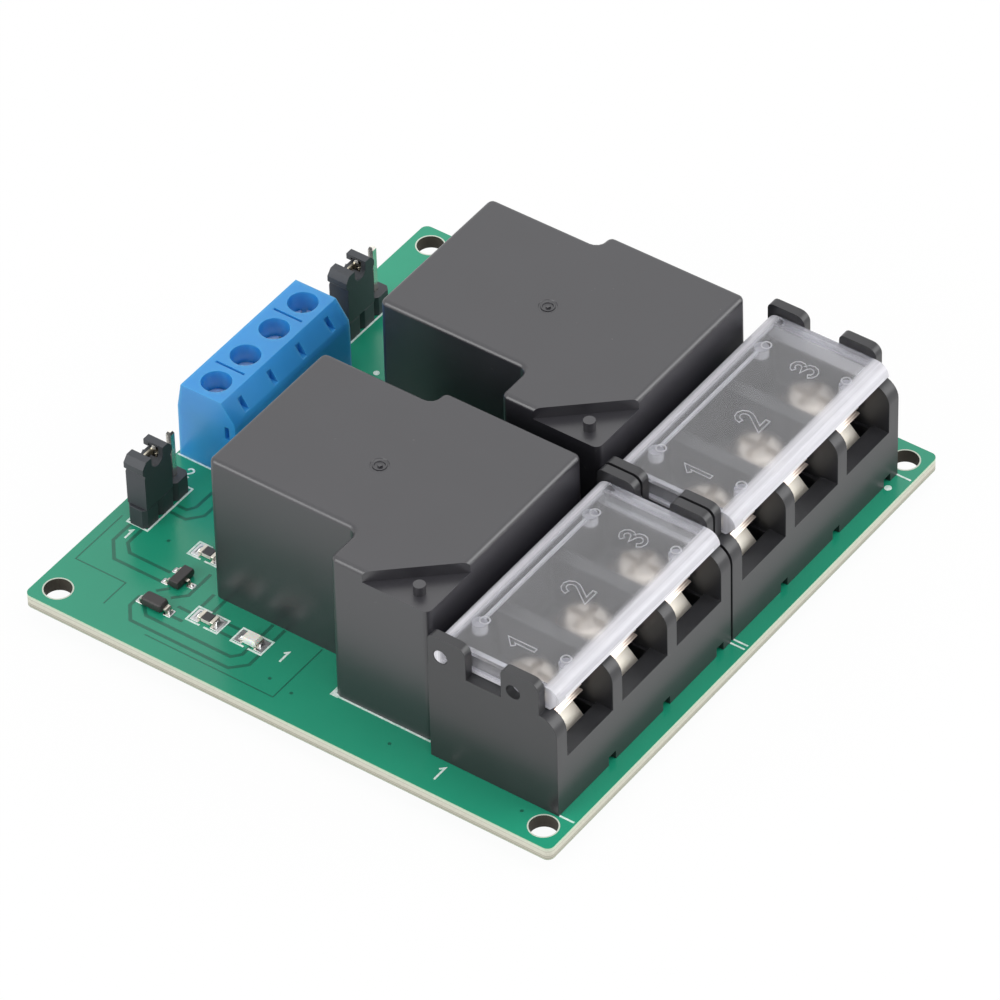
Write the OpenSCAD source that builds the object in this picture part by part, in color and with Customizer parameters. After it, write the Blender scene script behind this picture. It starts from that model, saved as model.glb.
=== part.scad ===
// Two channel relay module board.
// Board frame used below: X runs from the wire terminal edge to the barrier block edge,
// Y runs across the two channels, and z = 0 is the board's top face.

/* [Board] */
// Board size along X
board_w = 66; // [64:0.5:90]
// Board size along Y
board_d = 70; // [66:0.5:100]
// Board thickness
board_t = 1.6; // [1:0.1:2.4]
// Radius of the board's corners
board_corner_r = 0.8; // [0.2:0.1:3]
// Diameter of the four mounting holes
mount_hole_d = 3; // [2.2:0.1:3.4]
// Distance from the board's edges to each mounting hole's centre
mount_hole_inset = 2.5; // [2.2:0.1:4]
// How far the soldered leads stand out below the board
lead_drop = 2; // [1.4:0.1:3]

/* [Relays] */
// Overall length of a relay along X
relay_l = 31.15; // [28:0.1:34]
// Overall width of a relay's wide end
relay_w = 26.8; // [25:0.1:29]
// Height of a relay above the board
relay_h = 18.9; // [16:0.1:24]
// Width of the relay's narrow end
relay_narrow_w = 20.05; // [16:0.1:22]
// Step from the wide end's low side to the narrow end's low side
relay_low_step = 4.75; // [2:0.05:6]
// Length of the narrow end on the low side
relay_low_neck = 18.75; // [14:0.1:22]
// Length of the narrow end on the high side
relay_high_neck = 13.8; // [10:0.1:20]
// Drop of the corner shelf below the relay's top
shelf_drop = 1.4; // [0.6:0.1:3]
// Length of the corner shelf along each outer side
shelf_l = 8.4; // [5:0.1:11]
// Wall thickness of the relay case round its base
case_wall = 1; // [0.9:0.1:1.6]
// Thickness of the relay's base plate
relay_base_t = 1.2; // [0.8:0.1:2]
// Distance between a relay's two coil leads
coil_lead_spacing = 12.2; // [10:0.1:14]
// Distance between a relay's two contact leads
contact_lead_spacing = 17.8; // [16:0.1:20]
// Distance from the narrow end to the coil leads
coil_lead_in = 2.6; // [2:0.1:4]
// Distance from the wide end to the contact leads
contact_lead_in = 3.2; // [2.4:0.1:5]
// Distance from the wide end's step back to the common lead
common_lead_in = 2.4; // [1.6:0.1:4]
// Thickness of the relay leads
lead_t = 0.8; // [0.5:0.1:1]
// Width of the coil leads
coil_lead_w = 1; // [0.6:0.1:1.4]
// Width of the contact leads and the common lead
contact_lead_w = 1.6; // [1:0.1:2]
// Space between the two relays along Y
relay_gap = 2.45; // [1:0.05:4]
// Space between a relay and its barrier block
relay_block_gap = 0.85; // [0.5:0.05:2]

/* [Barrier blocks] */
// Distance between the poles of a barrier block
pole_pitch = 9.5; // [8.5:0.1:10.5]
// Number of poles in a block
poles = 3; // [2:1:3]
// Depth of a block along X
block_depth = 15.65; // [14.5:0.05:18]
// Height of a block's dividers and shoulders
block_h = 12.8; // [12.2:0.1:15]
// Thickness of a block's end walls
end_wall_t = 1.73; // [1.6:0.01:2.2]
// Thickness of a block's dividers
divider_t = 1.66; // [1.2:0.02:2]
// Thickness of a block's back wall
back_wall_t = 1.6; // [1:0.1:2.2]
// Height of the low wall at the front of each compartment
front_wall_h = 7; // [6.7:0.1:8]
// Thickness of the low front wall
front_wall_t = 2.1; // [1.2:0.1:2.4]
// Radius of the rounded front corner of walls and dividers
shoulder_r = 2.2; // [1:0.1:3]
// Height of the ears above the block's dividers
ear_h = 4; // [3.8:0.1:5]
// Thickness of the ears
ear_t = 1.1; // [0.8:0.05:1.4]
// Width of each ear along X
ear_w = 4.6; // [4:0.1:5]
// Distance from the back of the block to the rear ears
rear_ear_x = 0.1; // [0:0.05:0.5]
// Distance between the rear and the front ears' back edges
ear_spacing = 8.85; // [7.5:0.05:9.5]
// Gap between the two blocks
block_gap = 0.3; // [0.1:0.05:1]
// Distance from the board's edge to the front of the blocks
block_edge = 2; // [1:0.1:4]

/* [Block covers] */
// Diameter of the hinge holes in the ears
hinge_hole_d = 1.68; // [1.4:0.02:2]
// Radial clearance of the hinge pins in their holes
hinge_clear = 0.06; // [0.02:0.01:0.1]
// Height of the hinge axis above the block's dividers
hinge_up = 1.5; // [1.4:0.05:2]
// Distance from an ear's back edge to its hole
hinge_in = 1.5; // [1.5:0.05:2]
// Distance from the hinge axis to the cover's outer face
cover_r = 1.4; // [1.2:0.05:1.45]
// Thickness of the cover
cover_t = 1; // [0.7:0.05:1.2]
// Clearance between the cover's ends and the ears
cover_clear = 0.12; // [0.05:0.01:0.3]
// Distance from the front of the block to the front edge of the cover
cover_set_back = 0.45; // [0.1:0.05:1.5]
// Radius of the cover's rounded front edge
cover_front_r = 1.5; // [1.2:0.1:2]
// Distance from the back of the block to the cover's back pegs and the rib between them
peg_back_in = 2.45; // [2.3:0.05:3]
// Distance from the front of the block to the cover's front pegs
peg_front_in = 2.75; // [2.5:0.05:3.2]
// Radius of the pegs under the cover
peg_r = 0.8; // [0.4:0.05:0.9]
// Height of the pegs under the cover
peg_h = 1.2; // [0.4:0.1:1.4]

/* [Block contacts and screws] */
// Width of a contact strip
strip_w = 5.6; // [4.8:0.1:6.4]
// Thickness of a contact strip
strip_t = 0.8; // [0.5:0.05:1]
// Height of the compartment floor that carries the strips
floor_h = 6.6; // [6.2:0.1:7]
// Distance from the back of the block to the strips' legs
strip_leg_x = 4.8; // [3.6:0.1:5]
// Distance from the back of the block to the screws
screw_x = 8.45; // [8:0.05:9]
// Length of the strip's sloping front lip
lip_l = 2.9; // [1.5:0.1:3]
// Shank diameter of the barrier screws
screw_d = 3; // [2.5:0.1:3.5]
// Head diameter of the barrier screws
screw_head_d = 5.6; // [5:0.1:6.2]
// Head height of the barrier screws
screw_head_h = 2.15; // [1.6:0.05:2.4]
// Length of the barrier screws below the head
screw_l = 7.5; // [6:0.1:7.8]
// Radial clearance of the screws in the strips
thread_clear = 0.05; // [0.02:0.01:0.1]
// Side of the square clamping washers
washer_w = 7.2; // [6.2:0.1:7.4]
// Thickness of the clamping washers
washer_t = 0.8; // [0.5:0.05:1]
// How far the clamping washers stand above the strips
washer_lift = 0.95; // [0.2:0.05:1.2]

/* [Wire terminal] */
// Distance between the terminal's ways
way_pitch = 5; // [5:0.02:5.08]
// Number of ways
ways = 4; // [2:1:4]
// Depth of the terminal along X
term_depth = 7.6; // [7.4:0.1:9]
// Height of the terminal
term_h = 10; // [9.8:0.1:11]
// Width of the terminal's flat top
term_top_w = 5.25; // [5:0.05:5.4]
// Height at which the terminal's sides start to lean in
term_waist = 7.3; // [6.8:0.1:8]
// Distance from the board's edge to the terminal
term_edge = 0.4; // [0:0.1:2]
// Offset of the terminal's middle from the board's middle along Y
term_offset = 0.9; // [-4:0.1:4]
// Diameter of the screw wells
well_d = 3.3; // [3.2:0.05:3.6]
// Distance from the terminal's wire face to the screws
well_x = 3.45; // [3.4:0.05:3.6]
// Diameter of the terminal screws' heads
term_screw_head_d = 3.16; // [2.8:0.02:3.16]
// Height of the terminal screws' heads
term_screw_head_h = 1.2; // [1:0.1:1.7]
// Diameter of the terminal screws' shanks
term_screw_d = 2.5; // [2:0.1:2.6]
// Width of the rising clamps along X
clamp_l = 3.8; // [3.4:0.1:3.9]
// Width of the rising clamps along Y
clamp_w = 3.8; // [3.4:0.1:3.9]
// Travel of the rising clamps
clamp_travel = 1.5; // [1:0.1:1.6]
// Height of the clamp's floor above the board when open
clamp_base = 0.5; // [0.3:0.1:0.8]
// Height of a wire entry
entry_h = 2.9; // [2.4:0.1:3]
// Width of a wire entry
entry_w = 3; // [2.6:0.1:3.4]

/* [Headers and jumpers] */
// Distance between header pins
pin_pitch = 2.54; // [2:0.01:2.54]
// Thickness of the square header pins
pin_w = 0.64; // [0.5:0.01:0.7]
// Height of the header pins above the board
pin_top = 8.5; // [7.5:0.1:9.5]
// Height of a header's plastic base
header_base_h = 2.5; // [2:0.1:3]
// Distance from the board's edge to the header pins
header_x = 3.45; // [3:0.05:5]
// Distance along Y from the first relay's wide end to the middle of the first header
header_1_step = 12.35; // [8:0.05:13]
// Distance along Y from the second relay's wide end to the middle of the second header
header_2_step = 18.3; // [17:0.05:22]
// Outer width of a jumper along X
jumper_w = 2.5; // [2.2:0.05:2.5]
// Outer length of a jumper along Y
jumper_l = 4.9; // [4.6:0.05:5]
// Height of a jumper
jumper_h = 6.4; // [6.2:0.1:7.4]
// Thickness of the jumper's contact leaves
leaf_t = 0.22; // [0.15:0.01:0.25]
// Clearance between the pins and the contact leaves
leaf_clear = 0.03; // [0.01:0.01:0.08]

/* [Surface parts] */
// Distance from a relay's narrow end to the middle of its driver transistor
transistor_gap = 4.05; // [2.5:0.05:5]
// Distance from a relay's narrow end to the middle of its diode
diode_gap = 3.95; // [3:0.05:5]
// Distance from a relay's low neck side out to the middle of its transistor
transistor_row = 0.2; // [-1:0.05:2]
// Distance from a relay's low neck side out to the middle of its diode
diode_row = 4.7; // [3.5:0.05:6]
// Distance from a relay's low neck side out to the middle of its lamp and the resistor beside it
chip_row = 3.3; // [2.5:0.05:4]
// Distance from a relay's narrow end to the middle of the resistor beside the lamp
resistor_in = 1.8; // [1.4:0.05:3]
// Distance from a relay's narrow end to the middle of its lamp
lamp_in = 7.35; // [5:0.05:10]
// Distance from a transistor to the resistor above it
resistor_above = 4.75; // [3.5:0.05:6]
// Length of a chip resistor or lamp
chip_l = 2; // [1.6:0.1:2.1]
// Width of a chip resistor or lamp
chip_w = 1.25; // [0.8:0.05:1.4]

/* [Hidden] */
$fn = 48;
eps = 0.01;

// Places that follow from the sizes above
lead_end = -board_t - lead_drop;
comp_w = pole_pitch - divider_t;
block_len = poles*pole_pitch - divider_t + 2*end_wall_t;
block_x = board_w - block_edge - block_depth;
function block_y(i) = board_d/2 - block_len - block_gap/2 - 0.15 + i*(block_len + block_gap);
function pole_y(k) = end_wall_t + comp_w/2 + k*pole_pitch;
hinge_x = rear_ear_x + hinge_in;
hinge_z = block_h + hinge_up;
cover_top = hinge_z + cover_r;
rib_w = 0.35;
strip_top = floor_h + strip_t;
washer_z = strip_top + washer_lift;
screw_seat = washer_z + washer_t;
relay_x = block_x - relay_block_gap - relay_l;
transistor_x = relay_x - transistor_gap;
diode_x = relay_x - diode_gap;
function relay_y(i) = board_d/2 - 1 - relay_w - relay_gap/2 + i*(relay_w + relay_gap);
relay_corner_r = 0.9;
relay_edge_r = 0.6;
relay_draft = 0.15;
relay_arc_n = 4;
nub_in = [2.65, 2.2];
nub_r = 0.65;
nub_h = 0.8*shelf_drop;
base_clear = 0.05;
base_corner_r = case_wall + 0.6;
term_y = board_d/2 + term_offset - ways*way_pitch/2;
function way_y(k) = (k + 0.5)*way_pitch;
clamp_wall = 0.7;
tongue_t = 0.6;
tongue_top = 4.1;
clamp_top_t = 0.9;
cage_clear = 0.1;
screw_end = tongue_top + 0.03;
term_head_z = tongue_top + 0.1 + clamp_top_t + clamp_travel + 0.05;
function header_y(i) = relay_y(i) + (i == 0 ? header_1_step : header_2_step);
jumper_z = header_base_h + 0.05;

// Leads through the board as [x, y, size x, size y]
narrow_mid = relay_low_step + relay_narrow_w/2;
relay_leads = concat(
  [for (s = [-1, 1]) [coil_lead_in, narrow_mid + s*coil_lead_spacing/2, lead_t, coil_lead_w]],
  [[relay_low_neck - common_lead_in, narrow_mid, lead_t, contact_lead_w]],
  [for (s = [-1, 1]) [relay_l - contact_lead_in, relay_w/2 + s*contact_lead_spacing/2, lead_t, contact_lead_w]]
);
strip_pin_w = 1.4;
tongue_pin_w = 1;
tongue_leg_x = well_x + clamp_l/2 + 0.5;
function moved(list, x, y) = [for (p = list) [p[0] + x, p[1] + y, p[2], p[3]]];
function strip_leads(i) =
  [for (k = [0:poles - 1]) [block_x + strip_leg_x + strip_t/2, block_y(i) + pole_y(k), strip_t, strip_pin_w]];
function term_leads() =
  [for (k = [0:ways - 1]) [term_edge + tongue_leg_x + tongue_t/2, term_y + way_y(k), tongue_t, tongue_pin_w]];
function header_leads(i) =
  [for (k = [-1:1]) [header_x, header_y(i) + k*pin_pitch, pin_w, pin_w]];
leads = concat(
  moved(relay_leads, relay_x, relay_y(0)), moved(relay_leads, relay_x, relay_y(1)),
  strip_leads(0), strip_leads(1), term_leads(), header_leads(0), header_leads(1)
);
function lead_hole_r(p) = norm([p[2], p[3]])/2 + 0.12;

// Points along an arc
function arc(x, y, r, a0, a1, n = 6) =
  [for (i = [0:n]) [x + r*cos(a0 + (a1 - a0)*i/n), y + r*sin(a0 + (a1 - a0)*i/n)]];

module at_board() translate([-board_w/2, -board_d/2, -lead_end]) children();

// Draws a profile in X and Z and runs it along Y
module along_y(w) rotate([90, 0, 0]) translate([0, 0, -w]) linear_extrude(w) children();

// Circuit board
module circuit_board() color("#1f8a68") at_board() difference() {
  translate([0, 0, -board_t]) union() {
    translate([board_corner_r, 0, 0]) cube([board_w - 2*board_corner_r, board_d, board_t]);
    translate([0, board_corner_r, 0]) cube([board_w, board_d - 2*board_corner_r, board_t]);
    for (x = [board_corner_r, board_w - board_corner_r], y = [board_corner_r, board_d - board_corner_r])
      translate([x, y, 0]) cylinder(h = board_t, r = board_corner_r);
  }
  for (x = [mount_hole_inset, board_w - mount_hole_inset], y = [mount_hole_inset, board_d - mount_hole_inset])
    translate([x, y, -board_t - 1]) cylinder(h = board_t + 2, d = mount_hole_d);
  for (p = leads) translate([p[0], p[1], -board_t - 1]) cylinder(h = board_t + 2, r = lead_hole_r(p), $fn = 24);
}

// Solder fills each plated hole and stands as a cone round the lead below the board
module solder_joints() color("#c9ccd0") at_board() for (p = leads) difference() {
  translate([p[0], p[1], 0]) rotate_extrude($fn = 24) polygon([
    [0, -board_t - 1.1], [norm([p[2], p[3]])/2 + 0.08, -board_t - 1.1],
    [lead_hole_r(p) + 0.1, -board_t - 0.5], [lead_hole_r(p) + 0.4, -board_t],
    [lead_hole_r(p), -board_t], [lead_hole_r(p), 0], [0, 0]
  ]);
  translate([p[0] - p[2]/2, p[1] - p[3]/2, -board_t - 2]) cube([p[2], p[3], board_t + 3]);
}

// Outline of the stepped relay case, drawn inwards by d, with rounded corners
function relay_loop(d, r = relay_corner_r, n = relay_arc_n) = let (
  y0 = relay_low_step, y1 = relay_low_step + relay_narrow_w, xa = relay_low_neck, xb = relay_high_neck
) concat(
  arc(r, y0 + r, r - d, 180, 270, n),
  arc(xa - r, y0 - r, r + d, 90, 0, n),
  arc(xa + r, r, r - d, 180, 270, n),
  arc(relay_l - r, r, r - d, 270, 360, n),
  arc(relay_l - r, relay_w - r, r - d, 0, 90, n),
  arc(xb + r, relay_w - r, r - d, 90, 180, n),
  arc(xb - r, y1 + r, r + d, 0, -90, n),
  arc(r, y1 - r, r - d, 90, 180, n)
);

// Skins a stack of loops given as [z, inset, corner radius]. The first and the last loop are closed by triangles
// round a point of the wide end that sees the whole stepped outline.
module relay_skin(layers) {
  n = len(relay_loop(0));
  m = len(layers);
  hub = [(max(relay_low_neck, relay_high_neck) + relay_l)/2, relay_w/2];
  polyhedron(
    points = concat(
      [for (l = layers, p = relay_loop(l[1], l[2])) [p[0], p[1], l[0]]],
      [[hub[0], hub[1], layers[0][0]], [hub[0], hub[1], layers[m - 1][0]]]
    ),
    faces = concat(
      [for (i = [0:n - 1]) [m*n, i, (i + 1)%n]],
      [for (i = [0:n - 1]) [m*n + 1, (m - 1)*n + (i + 1)%n, (m - 1)*n + i]],
      [for (j = [0:m - 2], i = [0:n - 1]) [j*n + i, (j + 1)*n + i, (j + 1)*n + (i + 1)%n]],
      [for (j = [0:m - 2], i = [0:n - 1]) [j*n + i, (j + 1)*n + (i + 1)%n, j*n + (i + 1)%n]]
    ),
    convexity = 8
  );
}

// Relay case: recess for the base plate, drafted sides, rounded top edge, corner shelf, nub and gate dimple
module relay_case(i) color("#4a4b52") at_board() translate([relay_x, relay_y(i), 0]) {
  e = relay_edge_r;
  r = relay_corner_r;
  difference() {
    relay_skin(concat(
      [[relay_base_t, case_wall, base_corner_r], [0, case_wall, base_corner_r]],
      [[0, 0, r], [relay_h - e, relay_draft, r]],
      [for (a = [30:30:90]) [relay_h - e + e*sin(a), relay_draft + e*(1 - cos(a)), r]]
    ));
    translate([0, 0, relay_h - shelf_drop]) linear_extrude(shelf_drop + 1)
      polygon([[relay_l - shelf_l, -1], [relay_l + 1, -1], [relay_l + 1, shelf_l], [relay_l - shelf_l, 0]]);
    translate([relay_l/2 - 0.5, relay_w/2 + 0.5, relay_h + 2.55]) sphere(r = 2.8, $fn = 32);
  }
  translate([relay_l - nub_in[0], nub_in[1], relay_h - shelf_drop - eps]) cylinder(h = nub_h + eps, r = nub_r, $fn = 24);
}

module relay_base(i) color("#2e2f33") at_board() translate([relay_x, relay_y(i), 0]) difference() {
  linear_extrude(relay_base_t) polygon(relay_loop(case_wall + base_clear, base_corner_r));
  for (p = relay_leads) translate([p[0] - p[2]/2, p[1] - p[3]/2, -1]) cube([p[2], p[3], relay_base_t + 2]);
}

module relay_pins(i) color("#c8c2b4") at_board() for (p = moved(relay_leads, relay_x, relay_y(i)))
  translate([p[0] - p[2]/2, p[1] - p[3]/2, lead_end]) cube([p[2], p[3], relay_base_t - lead_end]);

// Side profile of a block's walls and dividers
module wall_profile() polygon(concat(
  [[0, 0], [block_depth, 0]],
  arc(block_depth - shoulder_r, block_h - shoulder_r, shoulder_r, 0, 90, 8),
  [[0, block_h]]
));

module ear_profile(x) polygon(concat(
  [[x, block_h - 1], [x + ear_w, block_h - 1]],
  arc(x + ear_w - 1.1, block_h + ear_h - 1.1, 1.1, 0, 90, 6),
  arc(x + 0.7, block_h + ear_h - 0.7, 0.7, 90, 180, 4)
));

// Barrier block housing: end walls with ears, dividers, back wall, floor with strip slots
module block_housing(i) color("#3c3d40") at_board() translate([block_x, block_y(i), 0]) difference() {
  union() {
    for (y = [0, block_len - end_wall_t]) translate([0, y, 0]) along_y(end_wall_t) wall_profile();
    for (y = [0, block_len - ear_t], x = [0, ear_spacing])
      translate([0, y, 0]) along_y(ear_t) ear_profile(rear_ear_x + x);
    for (k = [0:poles - 2])
      translate([0, pole_y(k) + comp_w/2, 0]) along_y(divider_t) wall_profile();
    cube([back_wall_t, block_len, block_h]);
    cube([block_depth - eps, block_len, floor_h]);
    translate([block_depth - front_wall_t, 0, 0]) cube([front_wall_t, block_len, front_wall_h]);
  }
  for (y = [0, block_len - ear_t], x = [0, ear_spacing])
    translate([hinge_x + x, y + ear_t + 1, hinge_z]) rotate([90, 0, 0]) cylinder(h = ear_t + 2, d = hinge_hole_d);
  for (k = [0:poles - 1]) translate([0, pole_y(k), 0]) {
    // slot for the strip's leg
    translate([strip_leg_x - 0.05, -strip_w/2 - 0.05, -1]) cube([strip_t + 0.1, strip_w + 0.1, floor_h + 2]);
    // pocket under the screw
    translate([screw_x, 0, 0.5]) cylinder(h = floor_h, r = screw_d/2 + 0.4);
    // trough behind the front wall for the strip's lip
    translate([screw_x + 2.3, -comp_w/2 + 0.3, floor_h - 2.6])
      cube([block_depth - front_wall_t - screw_x - 2.3, comp_w - 0.6, 4]);
    // notch in the foot of the front wall
    translate([block_depth - 1, comp_w/2 - 0.85, -1]) cube([2, 1.2, 2.1]);
  }
}

// Side profile of the cover's plate, curled round the hinge at the back and the front edge
module cover_plate_profile() polygon(concat(
  arc(hinge_x, hinge_z, cover_r, 200, 90, 10),
  arc(block_depth - cover_set_back - cover_front_r, cover_top - cover_front_r, cover_front_r, 90, 0, 8),
  arc(block_depth - cover_set_back - cover_front_r, cover_top - cover_front_r, cover_front_r - cover_t, 0, 90, 8),
  arc(hinge_x, hinge_z, cover_r - cover_t, 90, 200, 6)
));

module cover_skirt_profile() polygon(concat(
  [[block_depth - cover_set_back - 1.2, hinge_z - cover_r]],
  arc(hinge_x, hinge_z, cover_r, 270, 90, 14),
  arc(block_depth - cover_set_back - cover_front_r, cover_top - cover_front_r, cover_front_r, 90, 0, 8)
));

// Clear cover: plate, end skirts, hinge pins, two rows of pegs and a rib between the back ones
module block_cover(i) color("#d8dde2") at_board() translate([block_x, block_y(i), 0]) {
  y0 = ear_t + cover_clear;
  len = block_len - 2*y0;
  difference() {
    union() {
      translate([0, y0, 0]) along_y(len) cover_plate_profile();
      for (y = [y0, y0 + len - cover_t]) translate([0, y, 0]) along_y(cover_t) cover_skirt_profile();
      translate([peg_back_in - rib_w/2, pole_y(0), cover_top - cover_t - rib_w])
        cube([rib_w, pole_y(poles - 1) - pole_y(0), rib_w + eps]);
      for (x = [peg_back_in, block_depth - peg_front_in], k = [0, poles - 1])
        translate([x, pole_y(k), cover_top - cover_t - peg_h]) cylinder(h = peg_h + eps, r = peg_r, $fn = 24);
      for (s = [0, 1]) translate([hinge_x, s == 0 ? y0 + 0.5 : block_len - 0.05, hinge_z])
        rotate([90, 0, 0]) cylinder(h = y0 + 0.45, r = hinge_hole_d/2 - hinge_clear);
    }
    // finger notches in the curled back edge
    for (y = [3.3, block_len - 4.5]) translate([-1, y, hinge_z - 2]) cube([hinge_x - cover_r + 1.5, 1.2, 2.6]);
  }
}

// Contact strip: leg and pin, flat seat with the thread hole, lip sloping down to the front
module contact_strip() {
  x0 = strip_leg_x;
  xb = screw_x + 2.5;
  s = sin(45);
  t = strip_t;
  difference() {
    along_y(strip_w) polygon([
      [x0, 0.15], [x0 + t, 0.15], [x0 + t, floor_h], [xb, floor_h],
      [xb + lip_l*s, floor_h - lip_l*s],
      [xb + lip_l*s + t*s, floor_h - lip_l*s + t*s],
      [xb + t*tan(22.5), strip_top], [x0 + 0.3, strip_top], [x0, strip_top - 0.3]
    ]);
    translate([screw_x, strip_w/2, floor_h - 1]) cylinder(h = t + 2, r = screw_d/2 + thread_clear);
  }
  translate([x0, strip_w/2 - strip_pin_w/2, lead_end]) cube([t, strip_pin_w, -lead_end + 0.15 + eps]);
}

module block_contact_strips(i) color("#e9e6dc") at_board() translate([block_x, block_y(i), 0])
  for (k = [0:poles - 1]) translate([0, pole_y(k) - strip_w/2, 0]) contact_strip();

// Barrier screw with a domed head, a slot and a cross
module block_screw(n) color("#d9d5cb") at_board()
  translate([block_x + screw_x, block_y(floor(n/poles)) + pole_y(n%poles), screw_seat]) difference() {
    rotate_extrude() polygon(concat(
      [[0, -screw_l], [screw_d/2 - 0.4, -screw_l], [screw_d/2, -screw_l + 0.5], [screw_d/2, 0], [screw_head_d/2, 0]],
      arc(screw_head_d/2 - 1, screw_head_h - 1, 1, 0, 90, 4),
      [[0, screw_head_h]]
    ));
    translate([-screw_head_d/2 - 1, -0.45, screw_head_h - 0.9]) cube([screw_head_d + 2, 0.9, 2]);
    translate([-0.45, -screw_head_d/2 + 0.9, screw_head_h - 0.9]) cube([0.9, screw_head_d - 1.8, 2]);
  }

// Square clamping washer with clipped corners and grip ribs underneath
module block_washer(n) color("#d9d5cb") at_board()
  translate([block_x + screw_x, block_y(floor(n/poles)) + pole_y(n%poles), washer_z]) difference() {
    c = 0.9;
    h = washer_w/2;
    linear_extrude(washer_t) polygon(concat(
      arc(h - c, h - c, c, 0, 90, 5), arc(-h + c, h - c, c, 90, 180, 5),
      arc(-h + c, -h + c, c, 180, 270, 5), arc(h - c, -h + c, c, 270, 360, 5)
    ));
    translate([0, 0, -1]) cylinder(h = washer_t + 2, r = screw_d/2 + 0.15);
    for (x = [-3, -2.3, 2.3, 3]) translate([x - 0.15, -h - 1, -1]) cube([0.3, 2*h + 2, 1.2]);
  }

// Side profile of the wire terminal, wire face at x = 0
module term_profile() polygon([
  [0, 0], [0.1, term_waist - 0.4], [0.65, term_h], [0.65 + term_top_w, term_h],
  [term_depth - 0.1, term_waist + 0.4], [term_depth, term_waist - 0.6], [term_depth, 0]
]);

module terminal_housing() color("#3f86d0") at_board() translate([term_edge, term_y, 0]) difference() {
  along_y(ways*way_pitch) term_profile();
  for (k = [0:ways - 1]) translate([0, way_y(k), 0]) {
    // screw well
    translate([well_x, 0, term_head_z - 0.1]) cylinder(h = term_h, d = well_d);
    // chamber of the rising clamp, open to the board
    translate([well_x - clamp_l/2 - cage_clear, -clamp_w/2 - cage_clear, -1])
      cube([clamp_l + 2*cage_clear, clamp_w + 2*cage_clear, term_head_z + 1]);
    // wire entry with a wide mouth
    translate([-1, -entry_w/2, clamp_base + clamp_wall - 0.2]) cube([well_x, entry_w, entry_h]);
    translate([-1, -entry_w/2 - 0.4, clamp_base + clamp_wall - 0.5]) cube([1.5, entry_w + 0.8, entry_h + 0.8]);
    // slot for the contact's leg
    translate([well_x, -1.25, -1]) cube([tongue_leg_x + tongue_t + 0.05 - well_x, 2.5, tongue_top + 1.05]);
    // short slot in the slanted face
    translate([0.65 + term_top_w + 0.4, -0.35, term_h - 2.1]) cube([2, 0.7, 1.4]);
  }
  // joint lines on the top between ways 1 and 2 and ways 3 and 4
  for (k = [1:2:ways - 1]) translate([1.5, k*way_pitch - 0.15, term_h - 0.4]) cube([3.7, 0.3, 1]);
  // key slot on the low end
  translate([term_depth - 1.4, -1, term_waist - 2.1]) cube([0.6, 1.6, 1.7]);
}

// Fixed contact: tongue through the clamp, leg and pin
module terminal_contacts() color("#cfcabd") at_board() translate([term_edge, term_y, 0])
  for (k = [0:ways - 1]) translate([0, way_y(k), 0]) {
    translate([0, -1.15, 0]) along_y(2.3) polygon([
      [well_x - clamp_l/2 + 0.3, tongue_top - tongue_t], [tongue_leg_x, tongue_top - tongue_t],
      [tongue_leg_x, 0.1], [tongue_leg_x + tongue_t, 0.1], [tongue_leg_x + tongue_t, tongue_top - 0.2],
      [tongue_leg_x + tongue_t - 0.2, tongue_top], [well_x - clamp_l/2 + 0.3, tongue_top]
    ]);
    translate([tongue_leg_x, -tongue_pin_w/2, lead_end]) cube([tongue_t, tongue_pin_w, 0.1 + eps - lead_end]);
  }

module terminal_screw(k) color("#c4c6c8") at_board() translate([term_edge + well_x, term_y + way_y(k), 0])
  difference() {
    rotate_extrude() polygon([
      [0, screw_end], [term_screw_d/2 - 0.3, screw_end], [term_screw_d/2, screw_end + 0.3],
      [term_screw_d/2, term_head_z], [term_screw_head_d/2, term_head_z],
      [term_screw_head_d/2, term_head_z + term_screw_head_h - 0.2],
      [term_screw_head_d/2 - 0.2, term_head_z + term_screw_head_h], [0, term_head_z + term_screw_head_h]
    ]);
    rotate([0, 0, 20 + 35*k]) translate([-3, -0.3, term_head_z + term_screw_head_h - 0.8]) cube([6, 0.6, 2]);
  }

// Rising clamp: a cage with a window along X and a threaded top
module terminal_clamp(k) color("#b9bcc0") at_board() translate([term_edge + well_x, term_y + way_y(k), clamp_base]) {
  h = tongue_top + 0.1 + clamp_top_t - clamp_base;
  difference() {
    translate([-clamp_l/2, -clamp_w/2, 0]) cube([clamp_l, clamp_w, h]);
    translate([-clamp_l, -clamp_w/2 + 0.6, clamp_wall]) cube([2*clamp_l, clamp_w - 1.2, h - clamp_wall - clamp_top_t]);
    translate([0, 0, clamp_wall + 0.5]) cylinder(h = h, r = term_screw_d/2 + thread_clear);
  }
}

// Header base: three eight sided bodies in a row
module header_base(i) color("#26282b") at_board() translate([header_x, header_y(i), 0]) difference() {
  c = 0.45;
  w = 2.5/2;
  h = pin_pitch/2;
  linear_extrude(header_base_h) polygon(concat(
    [for (k = [-1:1], p = [[w - c, -h], [w, -h + c], [w, h - c], [w - c, h]]) [p[0], p[1] + k*pin_pitch]],
    [for (k = [1:-1:-1], p = [[-w + c, h], [-w, h - c], [-w, -h + c], [-w + c, -h]]) [p[0], p[1] + k*pin_pitch]]
  ));
  for (k = [-1:1]) translate([-pin_w/2, k*pin_pitch - pin_w/2, -1]) cube([pin_w, pin_w, header_base_h + 2]);
}

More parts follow.
